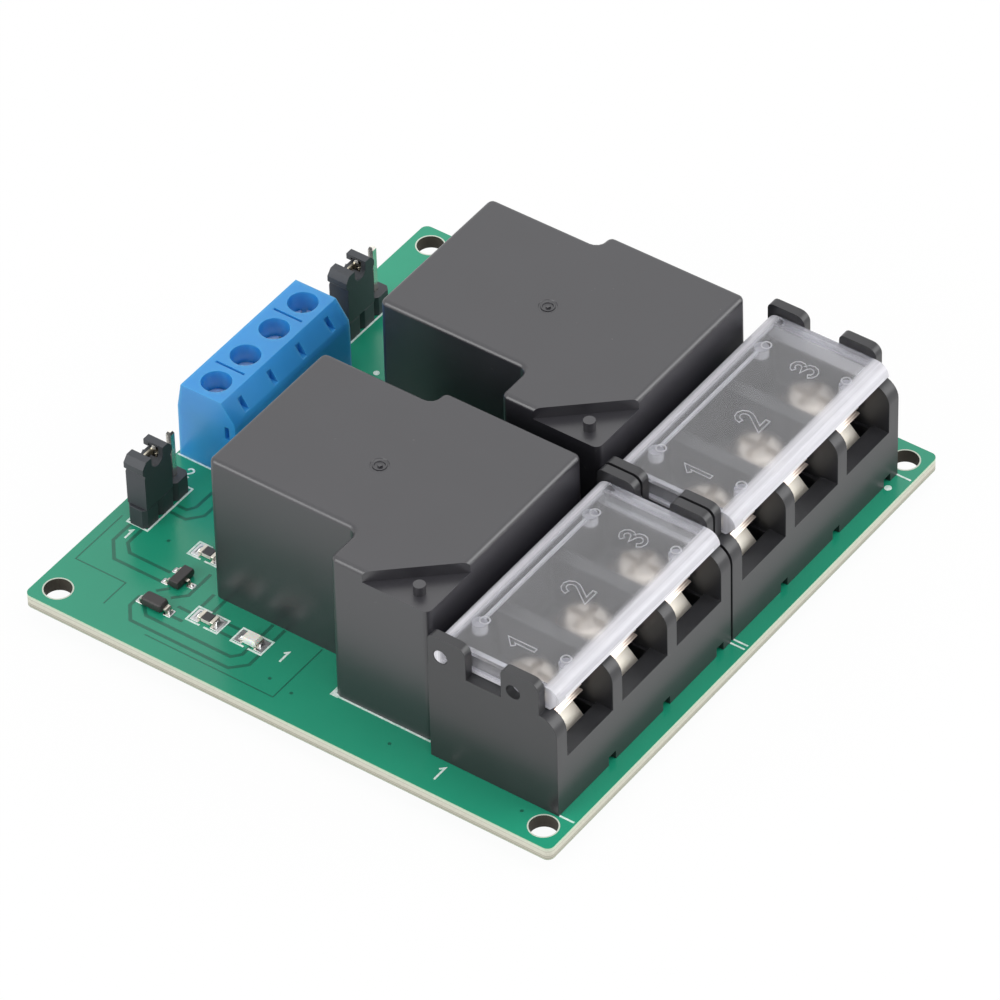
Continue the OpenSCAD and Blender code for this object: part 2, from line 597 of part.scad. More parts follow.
module header_pins(i) color("#c9c4b6") at_board() for (k = [-1:1])
  translate([header_x, header_y(i) + k*pin_pitch, 0]) {
    translate([-pin_w/2, -pin_w/2, lead_end]) cube([pin_w, pin_w, pin_top - 0.3 - lead_end]);
    translate([0, 0, pin_top - 0.3 - eps]) rotate([0, 0, 45])
      cylinder(h = 0.3 + eps, r1 = pin_w/sqrt(2), r2 = pin_w/sqrt(2) - 0.2, $fn = 4);
  }

// Side profile of a jumper's housing: straight body, grip lips and a round notch in the top
module jumper_profile() {
  b = jumper_l/2 - 0.22;
  l = jumper_l/2;
  h = jumper_h;
  polygon(concat(
    [[-b, 0], [b, 0], [b, h - 2.1], [l - 0.35, h - 1.85], [l, h - 1.4], [l, h - 0.7], [l - 0.6, h], [0.95, h]],
    arc(0, h - 0.75, 0.95, 0, -180, 10),
    [[-0.95, h], [-l + 0.6, h], [-l, h - 0.7], [-l, h - 1.4], [-l + 0.35, h - 1.85], [-b, h - 2.1]]
  ));
}

// Jumper housing on the two low pins, with two sockets and a contact window
module jumper_housing(i) color("#26282b") at_board()
  translate([header_x, header_y(i) - pin_pitch/2, jumper_z]) difference() {
    translate([jumper_w/2, 0, 0]) rotate([0, 0, 90]) along_y(jumper_w) jumper_profile();
    for (s = [-1, 1]) translate([-0.68, s*pin_pitch/2 - 0.62, -1]) cube([1.36, 1.24, jumper_h + 0.7]);
    translate([-0.68, -pin_pitch/2 - 0.62, 2.9]) cube([0.5, pin_pitch + 1.24, jumper_h - 3.2]);
    translate([-jumper_w, pin_pitch/2 - 0.5, jumper_h - 1.5]) cube([jumper_w, 1, 0.8]);
  }

// Jumper contact: four leaves that grip the two pins, joined by a side bridge
module jumper_contact(i) color("#d8b25a") at_board()
  translate([header_x, header_y(i) - pin_pitch/2, jumper_z]) {
    x = pin_w/2 + leaf_clear;
    for (s = [-1, 1], a = [0, 1]) mirror([a, 0, 0])
      translate([x, s*pin_pitch/2 - 0.5, 0.5]) cube([leaf_t, 1, 4.8]);
    translate([-x - leaf_t, -pin_pitch/2 - 0.5, 3.5]) cube([leaf_t, pin_pitch + 1, 1.8]);
    for (s = [-1, 1]) translate([-x - leaf_t, s*pin_pitch/2 + 0.34, 3.6]) cube([2*(x + leaf_t), 0.16, 1.6]);
  }

// Driver transistor with three bent leads
module transistor(i) color("#25262a") at_board()
  translate([transistor_x, relay_y(i) + relay_low_step - transistor_row, 0]) {
    translate([-0.65, -1.45, 0.1]) cube([1.3, 2.9, 0.9]);
    for (p = [[-1, -0.95], [-1, 0.95], [1, 0]]) translate([0, p[1] - 0.22, 0]) scale([p[0], 1, 1]) along_y(0.44)
      polygon([[0.5, 0.35], [0.9, 0.35], [1.0, 0], [1.35, 0], [1.35, 0.15], [1.1, 0.15], [1.0, 0.5], [0.5, 0.5]]);
  }

// Flat diode with a tab at each end
module diode(i) color("#2a2b2e") at_board() translate([diode_x, relay_y(i) + relay_low_step - diode_row, 0]) {
  translate([-1.4, -0.8, 0.1]) cube([2.8, 1.6, 1]);
  for (s = [-1, 1]) translate([s*1.6 - 0.3, -0.5, 0]) cube([0.6, 1, 0.45]);
}

function resistor_place(n) = n%2 == 0
  ? [relay_x + resistor_in, relay_y(floor(n/2)) + relay_low_step - chip_row]
  : [transistor_x, relay_y(floor(n/2)) + relay_low_step - transistor_row + resistor_above];

module resistor(n) color("#22252a") at_board() translate([resistor_place(n)[0], resistor_place(n)[1], 0]) {
  translate([-chip_l/2 + 0.2, -chip_w/2 + 0.02, 0.02]) cube([chip_l - 0.4, chip_w - 0.04, 0.5]);
  for (s = [0, 1]) mirror([s, 0, 0]) translate([chip_l/2 - 0.4, -chip_w/2, 0]) cube([0.4, chip_w, 0.54]);
}

module indicator_lamp(i) color("#f2ecc8") at_board() translate([relay_x + lamp_in, relay_y(i) + relay_low_step - chip_row, 0]) {
  translate([-chip_l/2, -chip_w/2, 0]) cube([chip_l, chip_w, 0.4]);
  translate([-chip_l/2 + 0.35, -chip_w/2, 0.4 - eps]) cube([chip_l - 0.7, chip_w, 0.4]);
}

circuit_board();
solder_joints();
relay_case(0);  // relay_case_1
relay_case(1);  // relay_case_2
relay_base(0);  // relay_base_1
relay_base(1);  // relay_base_2
relay_pins(0);  // relay_pins_1
relay_pins(1);  // relay_pins_2
block_housing(0);  // block_housing_1
block_housing(1);  // block_housing_2
block_cover(0);  // block_cover_1
block_cover(1);  // block_cover_2
block_contact_strips(0);  // block_contact_strips_1
block_contact_strips(1);  // block_contact_strips_2
block_screw(0);  // block_screw_1
block_screw(1);  // block_screw_2
block_screw(2);  // block_screw_3
block_screw(3);  // block_screw_4
block_screw(4);  // block_screw_5
block_screw(5);  // block_screw_6
block_washer(0);  // block_washer_1
block_washer(1);  // block_washer_2
block_washer(2);  // block_washer_3
block_washer(3);  // block_washer_4
block_washer(4);  // block_washer_5
block_washer(5);  // block_washer_6
terminal_housing();
terminal_contacts();
terminal_screw(0);  // terminal_screw_1
terminal_screw(1);  // terminal_screw_2
terminal_screw(2);  // terminal_screw_3
terminal_screw(3);  // terminal_screw_4
terminal_clamp(0);  // terminal_clamp_1
terminal_clamp(1);  // terminal_clamp_2
terminal_clamp(2);  // terminal_clamp_3
terminal_clamp(3);  // terminal_clamp_4
header_base(0);  // header_base_1
header_base(1);  // header_base_2
header_pins(0);  // header_pins_1
header_pins(1);  // header_pins_2
jumper_housing(0);  // jumper_housing_1
jumper_housing(1);  // jumper_housing_2
jumper_contact(0);  // jumper_contact_1
jumper_contact(1);  // jumper_contact_2
transistor(0);  // transistor_1
transistor(1);  // transistor_2
diode(0);  // diode_1
diode(1);  // diode_2
resistor(0);  // resistor_1
resistor(1);  // resistor_2
resistor(2);  // resistor_3
resistor(3);  // resistor_4
indicator_lamp(0);  // indicator_lamp_1
indicator_lamp(1);  // indicator_lamp_2
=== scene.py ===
"""Looks of a two channel relay module board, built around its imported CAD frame."""

import math

import bmesh
import bpy
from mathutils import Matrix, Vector


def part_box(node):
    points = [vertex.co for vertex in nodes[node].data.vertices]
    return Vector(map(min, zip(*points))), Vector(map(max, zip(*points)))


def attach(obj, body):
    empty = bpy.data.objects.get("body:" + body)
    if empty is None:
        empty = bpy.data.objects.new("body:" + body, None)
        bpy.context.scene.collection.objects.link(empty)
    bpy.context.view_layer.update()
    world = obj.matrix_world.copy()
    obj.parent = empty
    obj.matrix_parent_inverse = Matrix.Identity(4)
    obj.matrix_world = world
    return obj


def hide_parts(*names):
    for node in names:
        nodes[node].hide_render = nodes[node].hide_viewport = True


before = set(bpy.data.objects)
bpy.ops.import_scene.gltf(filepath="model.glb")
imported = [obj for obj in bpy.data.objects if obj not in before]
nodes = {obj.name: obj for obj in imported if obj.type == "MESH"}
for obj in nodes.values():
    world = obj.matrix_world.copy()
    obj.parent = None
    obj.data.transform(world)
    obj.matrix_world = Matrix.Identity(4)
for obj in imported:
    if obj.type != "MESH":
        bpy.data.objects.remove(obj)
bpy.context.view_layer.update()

# Camera: a long lens that looks down over the low right corner of the board. Its place was solved from the corners
# of the board, the relays and the barrier blocks.
camera_data = bpy.data.cameras.new("photo_view")
camera_data.sensor_width = 36
camera_data.lens = 280.83
camera_data.shift_x = -0.01707
camera_data.shift_y = 0.00117
camera_data.clip_start = 0.05
camera = bpy.data.objects.new("photo_view", camera_data)
camera.location = (0.35537, -0.47222, 0.55044)
camera.rotation_euler = [math.radians(a) for a in (47.3694, 1.2373, 35.4942)]
bpy.context.scene.collection.objects.link(camera)
bpy.context.scene.camera = camera
bpy.context.scene.view_settings.view_transform = "Standard"


# Studio: the board stands on white paper between large soft lamps. A faint one is behind it to the left, one at the
# right, one low in front and one overhead. Mirrors see a white room that lights the board only in part.
def linear(hex_colour):
    """An sRGB hex colour as the linear RGBA that shaders take."""
    channels = [int(hex_colour[i:i + 2], 16) / 255 for i in (1, 3, 5)]
    return [c / 12.92 if c <= 0.04045 else ((c + 0.055) / 1.055) ** 2.4 for c in channels] + [1]


def add(tree, kind, inputs=(), out=None, **settings):
    """Adds one shader node with its settings, and sets or links its inputs. Returns the named or the first output."""
    made = tree.nodes.new("ShaderNode" + kind)
    for name, value in settings.items():
        setattr(made, name, value)
    for name, value in dict(inputs).items():
        socket = next(s for s in made.inputs if name in (s.identifier, s.name) and s.enabled)
        if isinstance(value, bpy.types.NodeSocket):
            tree.links.new(value, socket)
        else:
            socket.default_value = value
    outputs = [o for o in made.outputs if o.enabled]
    return made.outputs[out] if out else outputs[0] if outputs else None


def new_material(name):
    """An empty node material and its tree."""
    made = bpy.data.materials.new(name)
    made.use_nodes = True
    made.node_tree.nodes.clear()
    return made, made.node_tree


def direct_view(tree):
    """1 where a camera, mirror or glass ray looks, and 0 where light is gathered."""
    camera_ray = add(tree, "LightPath", out="Is Camera Ray")
    glossy_ray = add(tree, "LightPath", out="Is Glossy Ray")
    glass_ray = add(tree, "LightPath", out="Is Transmission Ray")
    either = add(tree, "Math", {"Value": camera_ray, "Value_001": glossy_ray}, operation="MAXIMUM")
    return add(tree, "Math", {"Value": either, "Value_001": glass_ray}, operation="MAXIMUM")


AMBIENT = 0.5
world = bpy.data.worlds.new("studio")
world.use_nodes = True
tree = world.node_tree
tree.nodes.clear()
strength = add(tree, "MapRange", {"Value": direct_view(tree), "To Min": AMBIENT, "To Max": 1.0})
add(tree, "OutputWorld", {"Surface": add(tree, "Background", {"Color": linear("#ffffff"), "Strength": strength})})
bpy.context.scene.world = world

FLOOR_HALF = 3.0
FLOOR_GLOW = 0.95
floor_mesh = bpy.data.meshes.new("paper_floor")
floor_corners = [(x * FLOOR_HALF, y * FLOOR_HALF, 0) for x, y in ((-1, -1), (1, -1), (1, 1), (-1, 1))]
floor_mesh.from_pydata(floor_corners, [], [(0, 1, 2, 3)])
floor = bpy.data.objects.new("paper_floor", floor_mesh)
bpy.context.scene.collection.objects.link(floor)
paper, tree = new_material("white_paper")
lit = add(tree, "BsdfDiffuse", {"Color": linear("#f6f6f6")})
glow = add(tree, "Emission", {"Color": linear("#ffffff"), "Strength": 1.0})
share = add(tree, "Math", {"Value": direct_view(tree), "Value_001": FLOOR_GLOW}, operation="MULTIPLY")
add(tree, "OutputMaterial", {"Surface": add(tree, "MixShader", {"Fac": share, "Shader": lit, "Shader_001": glow})})
floor_mesh.materials.append(paper)

# Softboxes as (name, place, size in metres, power in watts)
SOFTBOXES = [
    ("softbox_back_left", (-0.42, 0.56, 0.74), (0.95, 0.75), 0.5),
    ("softbox_right", (0.78, 0.42, 0.50), (0.8, 0.7), 5.0),
    ("softbox_front", (-0.35, -0.85, 0.45), (0.8, 0.6), 4.2),
    ("softbox_overhead", (0.15, -0.1, 1.05), (0.8, 0.8), 3.2),
]
LAMP_AIM = Vector((0, 0, 0.01))
for name, place, size, power in SOFTBOXES:
    lamp = bpy.data.lights.new(name, "AREA")
    lamp.shape = "RECTANGLE"
    lamp.size, lamp.size_y = size
    lamp.energy = power
    holder = bpy.data.objects.new(name, lamp)
    holder.location = place
    holder.rotation_euler = (LAMP_AIM - Vector(place)).to_track_quat("-Z", "Y").to_euler()
    bpy.context.scene.collection.objects.link(holder)

# Circuit board: a 1.6 mm panel of glass fibre laminate with copper on both faces under green solder mask. It is cut
# from a larger panel, so its edges show the cream laminate, and the four mounting holes are drilled through it.
MM = 0.001
board_low, board_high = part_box("circuit_board")
board_w, board_d, board_t = (board_high - board_low) / MM


def dress(names, made):
    """Gives CAD nodes one material."""
    for name in names:
        slots = nodes[name].data.materials
        slots.clear()
        slots.append(made)


# FR4 laminate under solder mask: the faces are glossy green, the cut edges a dull cream with grey glass layers, and
# the drilled walls painted dark brown as the shade inside the holes. A faint 3 mm wave of the cloth and a slow
# unevenness of the mask keep its mirror soft.
# The cloth's 0.5 mm weave is too fine to show, so it is drawn as a swell of 3.1 mm, which is 0.314 m over the scale.
# The scale of a noise is 1000 over its grain in millimetres, here and in all that follows.
WEAVE_SCALE = 100
# How far in from the board's outline a wall counts as a cut edge, in millimetres. Walls further in are drilled and
# painted dark as shade.
EDGE_BAND = 0.5
# Layers of the cut edge, from the lower to the upper face, as a share of the thickness and a colour
EDGE_LAYERS = (
    (0.0, "#4d8d6a"), (0.06, "#c4c3b2"), (0.16, "#8f8f83"), (0.21, "#cfcdbe"), (0.30, "#a3a294"),
    (0.36, "#d3d2c3"), (0.62, "#dadacb"), (0.68, "#bcbcae"), (0.74, "#dcdece"), (0.94, "#c6ddc2"),
)
mask, tree = new_material("green_solder_mask_on_laminate")
spot = add(tree, "TexCoord", out="Object")
depth = add(tree, "SeparateXYZ", {"Vector": spot}, out="Z")
normal_z = add(tree, "SeparateXYZ", {"Vector": add(tree, "NewGeometry", out="Normal")}, out="Z")
facing = add(tree, "Math", {"Value": normal_z}, operation="ABSOLUTE")
face_share = add(tree, "Math", {"Value": facing, "Value_001": 0.5}, operation="GREATER_THAN")
cloud = add(tree, "TexNoise", {"Vector": spot, "Scale": 1000 / 14, "Detail": 3})
weave_a, weave_b = (
    add(tree, "TexWave", {"Vector": spot, "Scale": WEAVE_SCALE, "Distortion": 0.6}, bands_direction=axis)
    for axis in "XY")
weave = add(tree, "Math", {"Value": weave_a, "Value_001": weave_b}, operation="ADD")
ripple = add(tree, "TexNoise", {"Vector": spot, "Scale": 1000 / 2.2, "Detail": 2})
green = add(tree, "Mix", {"Factor_Float": cloud, "A_Color": linear("#1a8c6e"), "B_Color": linear("#25a27e")},
            data_type="RGBA")
layer = add(tree, "MapRange", {"Value": depth, "From Min": board_low.z, "From Max": board_high.z})
edge = add(tree, "ValToRGB", {"Fac": layer})
ramp = edge.node.color_ramp
for place, colour in EDGE_LAYERS:
    ramp.elements.new(place).color = linear(colour)
ramp.elements.remove(ramp.elements[0])
ramp.elements[-1].color = linear("#58b48c")
fibre = add(tree, "TexNoise", {"Vector": spot, "Scale": 1000 / 0.25, "Detail": 2})
cut = add(tree, "Mix", {"Factor_Float": add(tree, "Math", {"Value": fibre, "Value_001": 0.35}, operation="MULTIPLY"),
                        "A_Color": edge, "B_Color": linear("#9a9480")}, data_type="RGBA")
apart_x = add(tree, "Math", {"Value": add(tree, "SeparateXYZ", {"Vector": spot}, out="X")}, operation="ABSOLUTE")
apart_y = add(tree, "Math", {"Value": add(tree, "SeparateXYZ", {"Vector": spot}, out="Y")}, operation="ABSOLUTE")
outer_x = add(tree, "Math", {"Value": apart_x, "Value_001": (board_w / 2 - EDGE_BAND) * MM}, operation="GREATER_THAN")
outer_y = add(tree, "Math", {"Value": apart_y, "Value_001": (board_d / 2 - EDGE_BAND) * MM}, operation="GREATER_THAN")
outer = add(tree, "Math", {"Value": outer_x, "Value_001": outer_y}, operation="MAXIMUM")
# Walls in from the outline get a dark brown as painted shade inside the holes, and the outer walls their cut layers
wall = add(tree, "Mix", {"Factor_Float": outer, "A_Color": linear("#3a352b"), "B_Color": cut}, data_type="RGBA")
colour = add(tree, "Mix", {"Factor_Float": face_share, "A_Color": wall, "B_Color": green}, data_type="RGBA")
sheen = add(tree, "MapRange", {"Value": cloud, "To Min": 0.20, "To Max": 0.30})
dull = add(tree, "Mix", {"Factor_Float": face_share, "A_Float": 0.75, "B_Float": sheen}, data_type="FLOAT")
relief = add(tree, "Bump", {"Height": weave, "Strength": 0.05, "Distance": 0.02 * MM})
relief = add(tree, "Bump", {"Height": ripple, "Strength": 0.12, "Distance": 0.05 * MM, "Normal": relief})
bsdf = add(tree, "BsdfPrincipled", {"Base Color": colour, "Roughness": dull, "IOR": 1.5, "Normal": relief})
add(tree, "OutputMaterial", {"Surface": bsdf})
dress(["circuit_board"], mask)


# Gaps in the copper: where copper was etched away the mask lies lower and looks darker, so thin dark lines part the
# tracks and pours. Each is drawn as a thin strip of the darker mask.
def at(x, y, z=0.0):
    """A point in millimetres from the board's low left corner and its top face, in the frame's metres."""
    return Vector((board_low.x + x * MM, board_low.y + y * MM, board_high.z + z * MM))


def place_of(name):
    """The lowest and highest corner of a CAD node in millimetres of the board."""
    low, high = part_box(name)
    zero = at(0, 0)
    return (low - zero) / MM, (high - zero) / MM


def build(name, solids, material, body, node=None, smooth=0):
    """Makes one piece of closed solids, each a list of points in board millimetres and a list of faces."""
    shape = bmesh.new()
    for points, faces in solids:
        made = [shape.verts.new(at(*p)) for p in points]
        for face in faces:
            shape.faces.new([made[i] for i in face])
    bmesh.ops.recalc_face_normals(shape, faces=shape.faces)
    mesh = bpy.data.meshes.new(name)
    shape.to_mesh(mesh)
    shape.free()
    mesh.materials.append(material)
    if smooth:
        mesh.shade_smooth()
        mesh.set_sharp_from_angle(angle=math.radians(smooth))
    made = bpy.data.objects.new(name, mesh)
    bpy.context.scene.collection.objects.link(made)
    if node:
        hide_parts(node)
    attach(made, body)
    return made


def tube_faces(rows, count, closed=False):
    """The faces between rows of as many points each, and between the last and the first row of a closed tube."""
    return [[j * count + i, j * count + (i + 1) % count, (j + 1) % rows * count + (i + 1) % count,
             (j + 1) % rows * count + i] for j in range(rows if closed else rows - 1) for i in range(count)]


def stacked(loops):
    """A closed solid through a stack of loops with as many points each."""
    rows, count = len(loops), len(loops[0])
    ends = [list(range(count - 1, -1, -1)), [(rows - 1) * count + i for i in range(count)]]
    return [p for loop in loops for p in loop], tube_faces(rows, count) + ends


def sides(points, width, closed=False):
    """The points half a width to the left and to the right of a line, with mitred corners."""
    left, right = [], []
    count = len(points)
    for i, point in enumerate(points):
        here = Vector(point)
        ways = []
        if closed or i:
            ways.append((here - Vector(points[i - 1])).normalized())
        if closed or i < count - 1:
            ways.append((Vector(points[(i + 1) % count]) - here).normalized())
        way = sum(ways, Vector((0, 0))).normalized()
        across = Vector((-way.y, way.x)) * (width / 2 / max(0.4, way.dot(ways[0])))
        left.append(here + across)
        right.append(here - across)
    return left, right


def strip(points, width, low, high, closed=False):
    """A flat strip along a line on the board, as a closed solid of square section."""
    left, right = sides(points, width, closed)
    loops = [[(*a, low), (*b, low), (*b, high), (*a, high)] for a, b in zip(left, right)]
    if not closed:
        return stacked(loops)
    return [p for loop in loops for p in loop], tube_faces(len(loops), 4, closed=True)


def moved_up(lines, step):
    """The same lines further along Y."""
    return [[(x, y + step) for x, y in line] for line in lines]


gap_green, tree = new_material("solder_mask_over_bare_laminate")
spot = add(tree, "TexCoord", out="Object")
cloud = add(tree, "TexNoise", {"Vector": spot, "Scale": 1000 / 1.5, "Detail": 2})
dark = add(tree, "Mix", {"Factor_Float": cloud, "A_Color": linear("#115f4b"), "B_Color": linear("#166f57")},
           data_type="RGBA")
relief = add(tree, "Bump", {"Height": cloud, "Strength": 0.1, "Distance": 0.03 * MM})
bsdf = add(tree, "BsdfPrincipled", {"Base Color": dark, "Roughness": 0.3, "IOR": 1.5, "Normal": relief})
add(tree, "OutputMaterial", {"Surface": bsdf})

GAP_W = 0.38
GAP_SINK = 0.05
GAP_RISE = 0.008
GAP_LINES = [
    [(2.7, 14.4), (2.7, 11.5), (4.5, 9.3), (11.0, 9.3)], [(4.2, 14.4), (4.2, 12.0), (5.3, 10.9), (10.6, 10.9)],
    [(14.2, 13.0), (14.2, 9.2), (12.9, 7.9)], [(12.0, 9.0), (11.0, 7.9)],
    [(10.1, 6.4), (10.1, 4.7), (11.5, 2.95), (24.0, 2.95), (25.5, 4.5), (25.5, 10.6)],
    [(10.9, 5.9), (12.4, 4.4), (23.2, 4.4), (24.0, 5.3), (24.0, 10.6)],
    [(14.3, 7.3), (16.0, 7.3)], [(13.9, 5.8), (16.0, 5.8)], [(20.1, 8.1), (21.6, 8.1)], [(20.1, 6.7), (21.6, 6.7)],
    [(17.8, 8.6), (17.8, 10.8)], [(16.3, 8.7), (16.3, 10.8)],
    [(5.0, 18.2), (7.0, 18.2), (8.3, 19.7), (8.3, 23.0)], [(5.0, 19.4), (6.2, 19.4), (6.8, 20.3), (6.8, 23.0)],
]
# The third to the tenth line come again beside the second relay
REPEATED_LINES = GAP_LINES[2:10]
relay_step = (place_of("relay_case_2")[0] - place_of("relay_case_1")[0]).y
POUR_GAP_W = 0.16
POUR_LINES = [
    [(1.2, 15.0), (1.2, 7.1), (7.7, 7.1), (7.7, 3.4)], [(14.0, 2.1), (30.3, 2.1), (30.3, 10.5)],
]
gap_solids = [strip(line, GAP_W, -GAP_SINK, GAP_RISE) for line in GAP_LINES + moved_up(REPEATED_LINES, relay_step)]
gap_solids += [strip(line, POUR_GAP_W, -GAP_SINK, GAP_RISE * 0.8) for line in POUR_LINES]
build("copper_gaps_top", gap_solids, gap_green, "board")


# The underside carries the high current pours from the relay contacts to the barrier blocks, each within its own gap,
# and two long gaps along Y, one under the wire terminal and one between it and the relays.
def rectangle(x0, y0, x1, y1):
    """The corners of a rectangle from its low left one."""
    return [(x0, y0), (x1, y0), (x1, y1), (x0, y1)]


POUR_ENDS = (24.0, 60.8)
POUR_ROWS = ((3.4, 13.4), (14.2, 23.6), (24.4, 33.6))
BLOCK_STEP = 30.6
UNDER_POUR_GAP_W = 0.8
UNDER_GAP_W = 0.5
under_z = (-board_t - GAP_RISE, -board_t + GAP_SINK)
under = [strip(rectangle(POUR_ENDS[0], y0 + low, POUR_ENDS[1], y1 + low), UNDER_POUR_GAP_W, *under_z, closed=True)
         for low in (0.0, BLOCK_STEP) for y0, y1 in POUR_ROWS]
under += [strip([(x, 8.0), (x, 62.0)], UNDER_GAP_W, *under_z) for x in (6.2, 14.5)]
build("copper_gaps_underside", under, gap_green, "board")


# Rings round the mounting holes: the drill left a thin pale rim where the mask ends short of the hole. The rim is bare
# laminate, and it shows on both faces of the board.
def circle(x, y, r, steps):
    """Points on a circle round a centre."""
    return [(x + r * math.cos(math.tau * i / steps), y + r * math.sin(math.tau * i / steps)) for i in range(steps)]


rim, tree = new_material("bare_laminate_rim")
spot = add(tree, "TexCoord", out="Object")
fibre = add(tree, "TexNoise", {"Vector": spot, "Scale": 1000 / 0.2, "Detail": 2})
pale = add(tree, "Mix", {"Factor_Float": fibre, "A_Color": linear("#b9c4b4"), "B_Color": linear("#e3e8dc")},
           data_type="RGBA")
bsdf = add(tree, "BsdfPrincipled", {"Base Color": pale, "Roughness": 0.55, "IOR": 1.5})
add(tree, "OutputMaterial", {"Surface": bsdf})
HOLE_INSET = 2.5
HOLE_R = 1.5
RIM_OFF = 0.08
RIM_W = 0.15
RIM_SINK = 0.03
RIM_RISE = 0.012
rings = []
for x in (HOLE_INSET, board_w - HOLE_INSET):
    for y in (HOLE_INSET, board_d - HOLE_INSET):
        ring = circle(x, y, HOLE_R + RIM_OFF, 48)
        rings += [strip(ring, RIM_W, -RIM_SINK, RIM_RISE, closed=True),
                  strip(ring, RIM_W, -board_t - RIM_RISE, -board_t + RIM_SINK, closed=True)]
build("mounting_hole_rims", rings, rim, "board")

# Printed lines: white ink screened on the mask round each part's place, about 0.2 mm wide, with a few plain numbers.
# The ink is matt and lets a little green through.
ink, tree = new_material("white_screen_print")
spot = add(tree, "TexCoord", out="Object")
thin = add(tree, "TexNoise", {"Vector": spot, "Scale": 1000 / 0.35, "Detail": 3})
tone = add(tree, "MapRange", {"Value": thin, "From Min": 0.35, "From Max": 0.65})
white = add(tree, "Mix", {"Factor_Float": tone, "A_Color": linear("#c8eadd"), "B_Color": linear("#f8fffc")},
            data_type="RGBA")
bsdf = add(tree, "BsdfPrincipled", {"Base Color": white, "Roughness": 0.6, "IOR": 1.5})
add(tree, "OutputMaterial", {"Surface": bsdf})

INK_W = 0.22
INK_SINK = 0.02
INK_RISE = 0.03
# Strokes of plain numbers, in heights of a digit
DIGITS = {
    "1": [(0.12, 0.78), (0.36, 1.0), (0.36, 0.0)],
    "2": [(0.02, 0.74), (0.07, 0.89), (0.18, 0.98), (0.34, 1.0), (0.48, 0.93), (0.55, 0.79), (0.52, 0.63),
          (0.42, 0.49), (0.03, 0.02), (0.6, 0.02)],
    "3": [(0.04, 0.83), (0.12, 0.94), (0.28, 1.0), (0.44, 0.95), (0.53, 0.83), (0.52, 0.68), (0.42, 0.57),
          (0.26, 0.54), (0.43, 0.5), (0.56, 0.4), (0.6, 0.26), (0.54, 0.11), (0.41, 0.02), (0.26, 0.0),
          (0.1, 0.06), (0.01, 0.19)],
}
# Frames round the chips of one channel, numbers as (digit, x, y, height), and dots as (x, y, radius)
CHIP_FRAMES = [(16.1, 6.3, 20.0, 8.5), (21.8, 6.3, 25.6, 8.5), (10.3, 14.2, 14.1, 16.3)]
FRAME_GAP = 0.5
PRINTED_NUMBERS = [("1", 3.0, 12.4, 1.4), ("2", 2.6, 23.4, 1.3), ("1", 27.2, 6.6, 1.6), ("1", 50.0, 1.7, 1.9)]
PRINTED_DOTS = [(64.4, 62.9, 0.4), (9.9, 47.6, 0.35)]
BLOCK_TICK = 1.75
CORNER_MARK = [(35.78, 5.92), (35.05, 5.92), (35.05, 7.2)]
CORNER_MARK_W = 0.5
CHANNELS = (1, 2)


def numbered(name, numbers=CHANNELS):
    """The names of a part that comes in several numbers."""
    return [f"{name}_{n}" for n in numbers]


def disc(x, y, r, steps, low, high):
    """A flat round solid."""
    return stacked([[(*p, z) for p in circle(x, y, r, steps)] for z in (low, high)])


def frame_box(x0, y0, x1, y1):
    """Two brackets that leave a small gap in the middle of the low and the high side."""
    mid = (x0 + x1) / 2
    return [[(mid + s * FRAME_GAP / 2, y0), (x, y0), (x, y1), (mid + s * FRAME_GAP / 2, y1)]
            for s, x in ((-1, x0), (1, x1))]


ink_lines = [line for corners in CHIP_FRAMES for line in frame_box(*corners)]
ink_lines += moved_up(ink_lines, relay_step)
ink_loops = []
for header in numbered("header_base"):
    low, high = place_of(header)
    ink_loops.append(rectangle(low.x - 0.05, low.y + 0.05, high.x + 0.1, high.y + 0.1))
for block in numbered("block_housing"):
    low, high = place_of(block)
    ink_lines += [[(high.x, y), (high.x + BLOCK_TICK, y)] for y in (low.y + 0.15, high.y - 0.15)]
low, high = place_of("terminal_housing")
ink_lines.append(rectangle(0.2, low.y - 0.1, high.x + 0.15, high.y + 0.1))
for case in numbered("relay_case"):
    low, high = place_of(case)
    ink_lines.append([(high.x - 11.7, low.y - 0.12), (high.x - 0.2, low.y - 0.12)])
ink_lines += [[(x + a * height, y + b * height) for a, b in DIGITS[digit]] for digit, x, y, height in PRINTED_NUMBERS]
ink_solids = [strip(line, INK_W, -INK_SINK, INK_RISE) for line in ink_lines]
ink_solids += [strip(loop, INK_W, -INK_SINK, INK_RISE, closed=True) for loop in ink_loops]
ink_solids += [strip(CORNER_MARK, CORNER_MARK_W, -INK_SINK, INK_RISE)]
ink_solids += [disc(x, y, r, 20, -INK_SINK, INK_RISE) for x, y, r in PRINTED_DOTS]
build("printed_lines", ink_solids, ink, "board")

# Vias: small holes, drilled and plated, that join the copper faces. The mask closes them, so each shows as a small
# dark disc.
VIA_R = 0.2
VIAS = [(7.5, 14.6), (28.4, 4.1), (7.5, 14.6 + relay_step), (31.5, 3.6), (44.0, 3.3), (60.5, 3.0)]
build("tented_vias", [disc(x, y, VIA_R, 16, -GAP_SINK, 0.01) for x, y in VIAS], gap_green, "board")

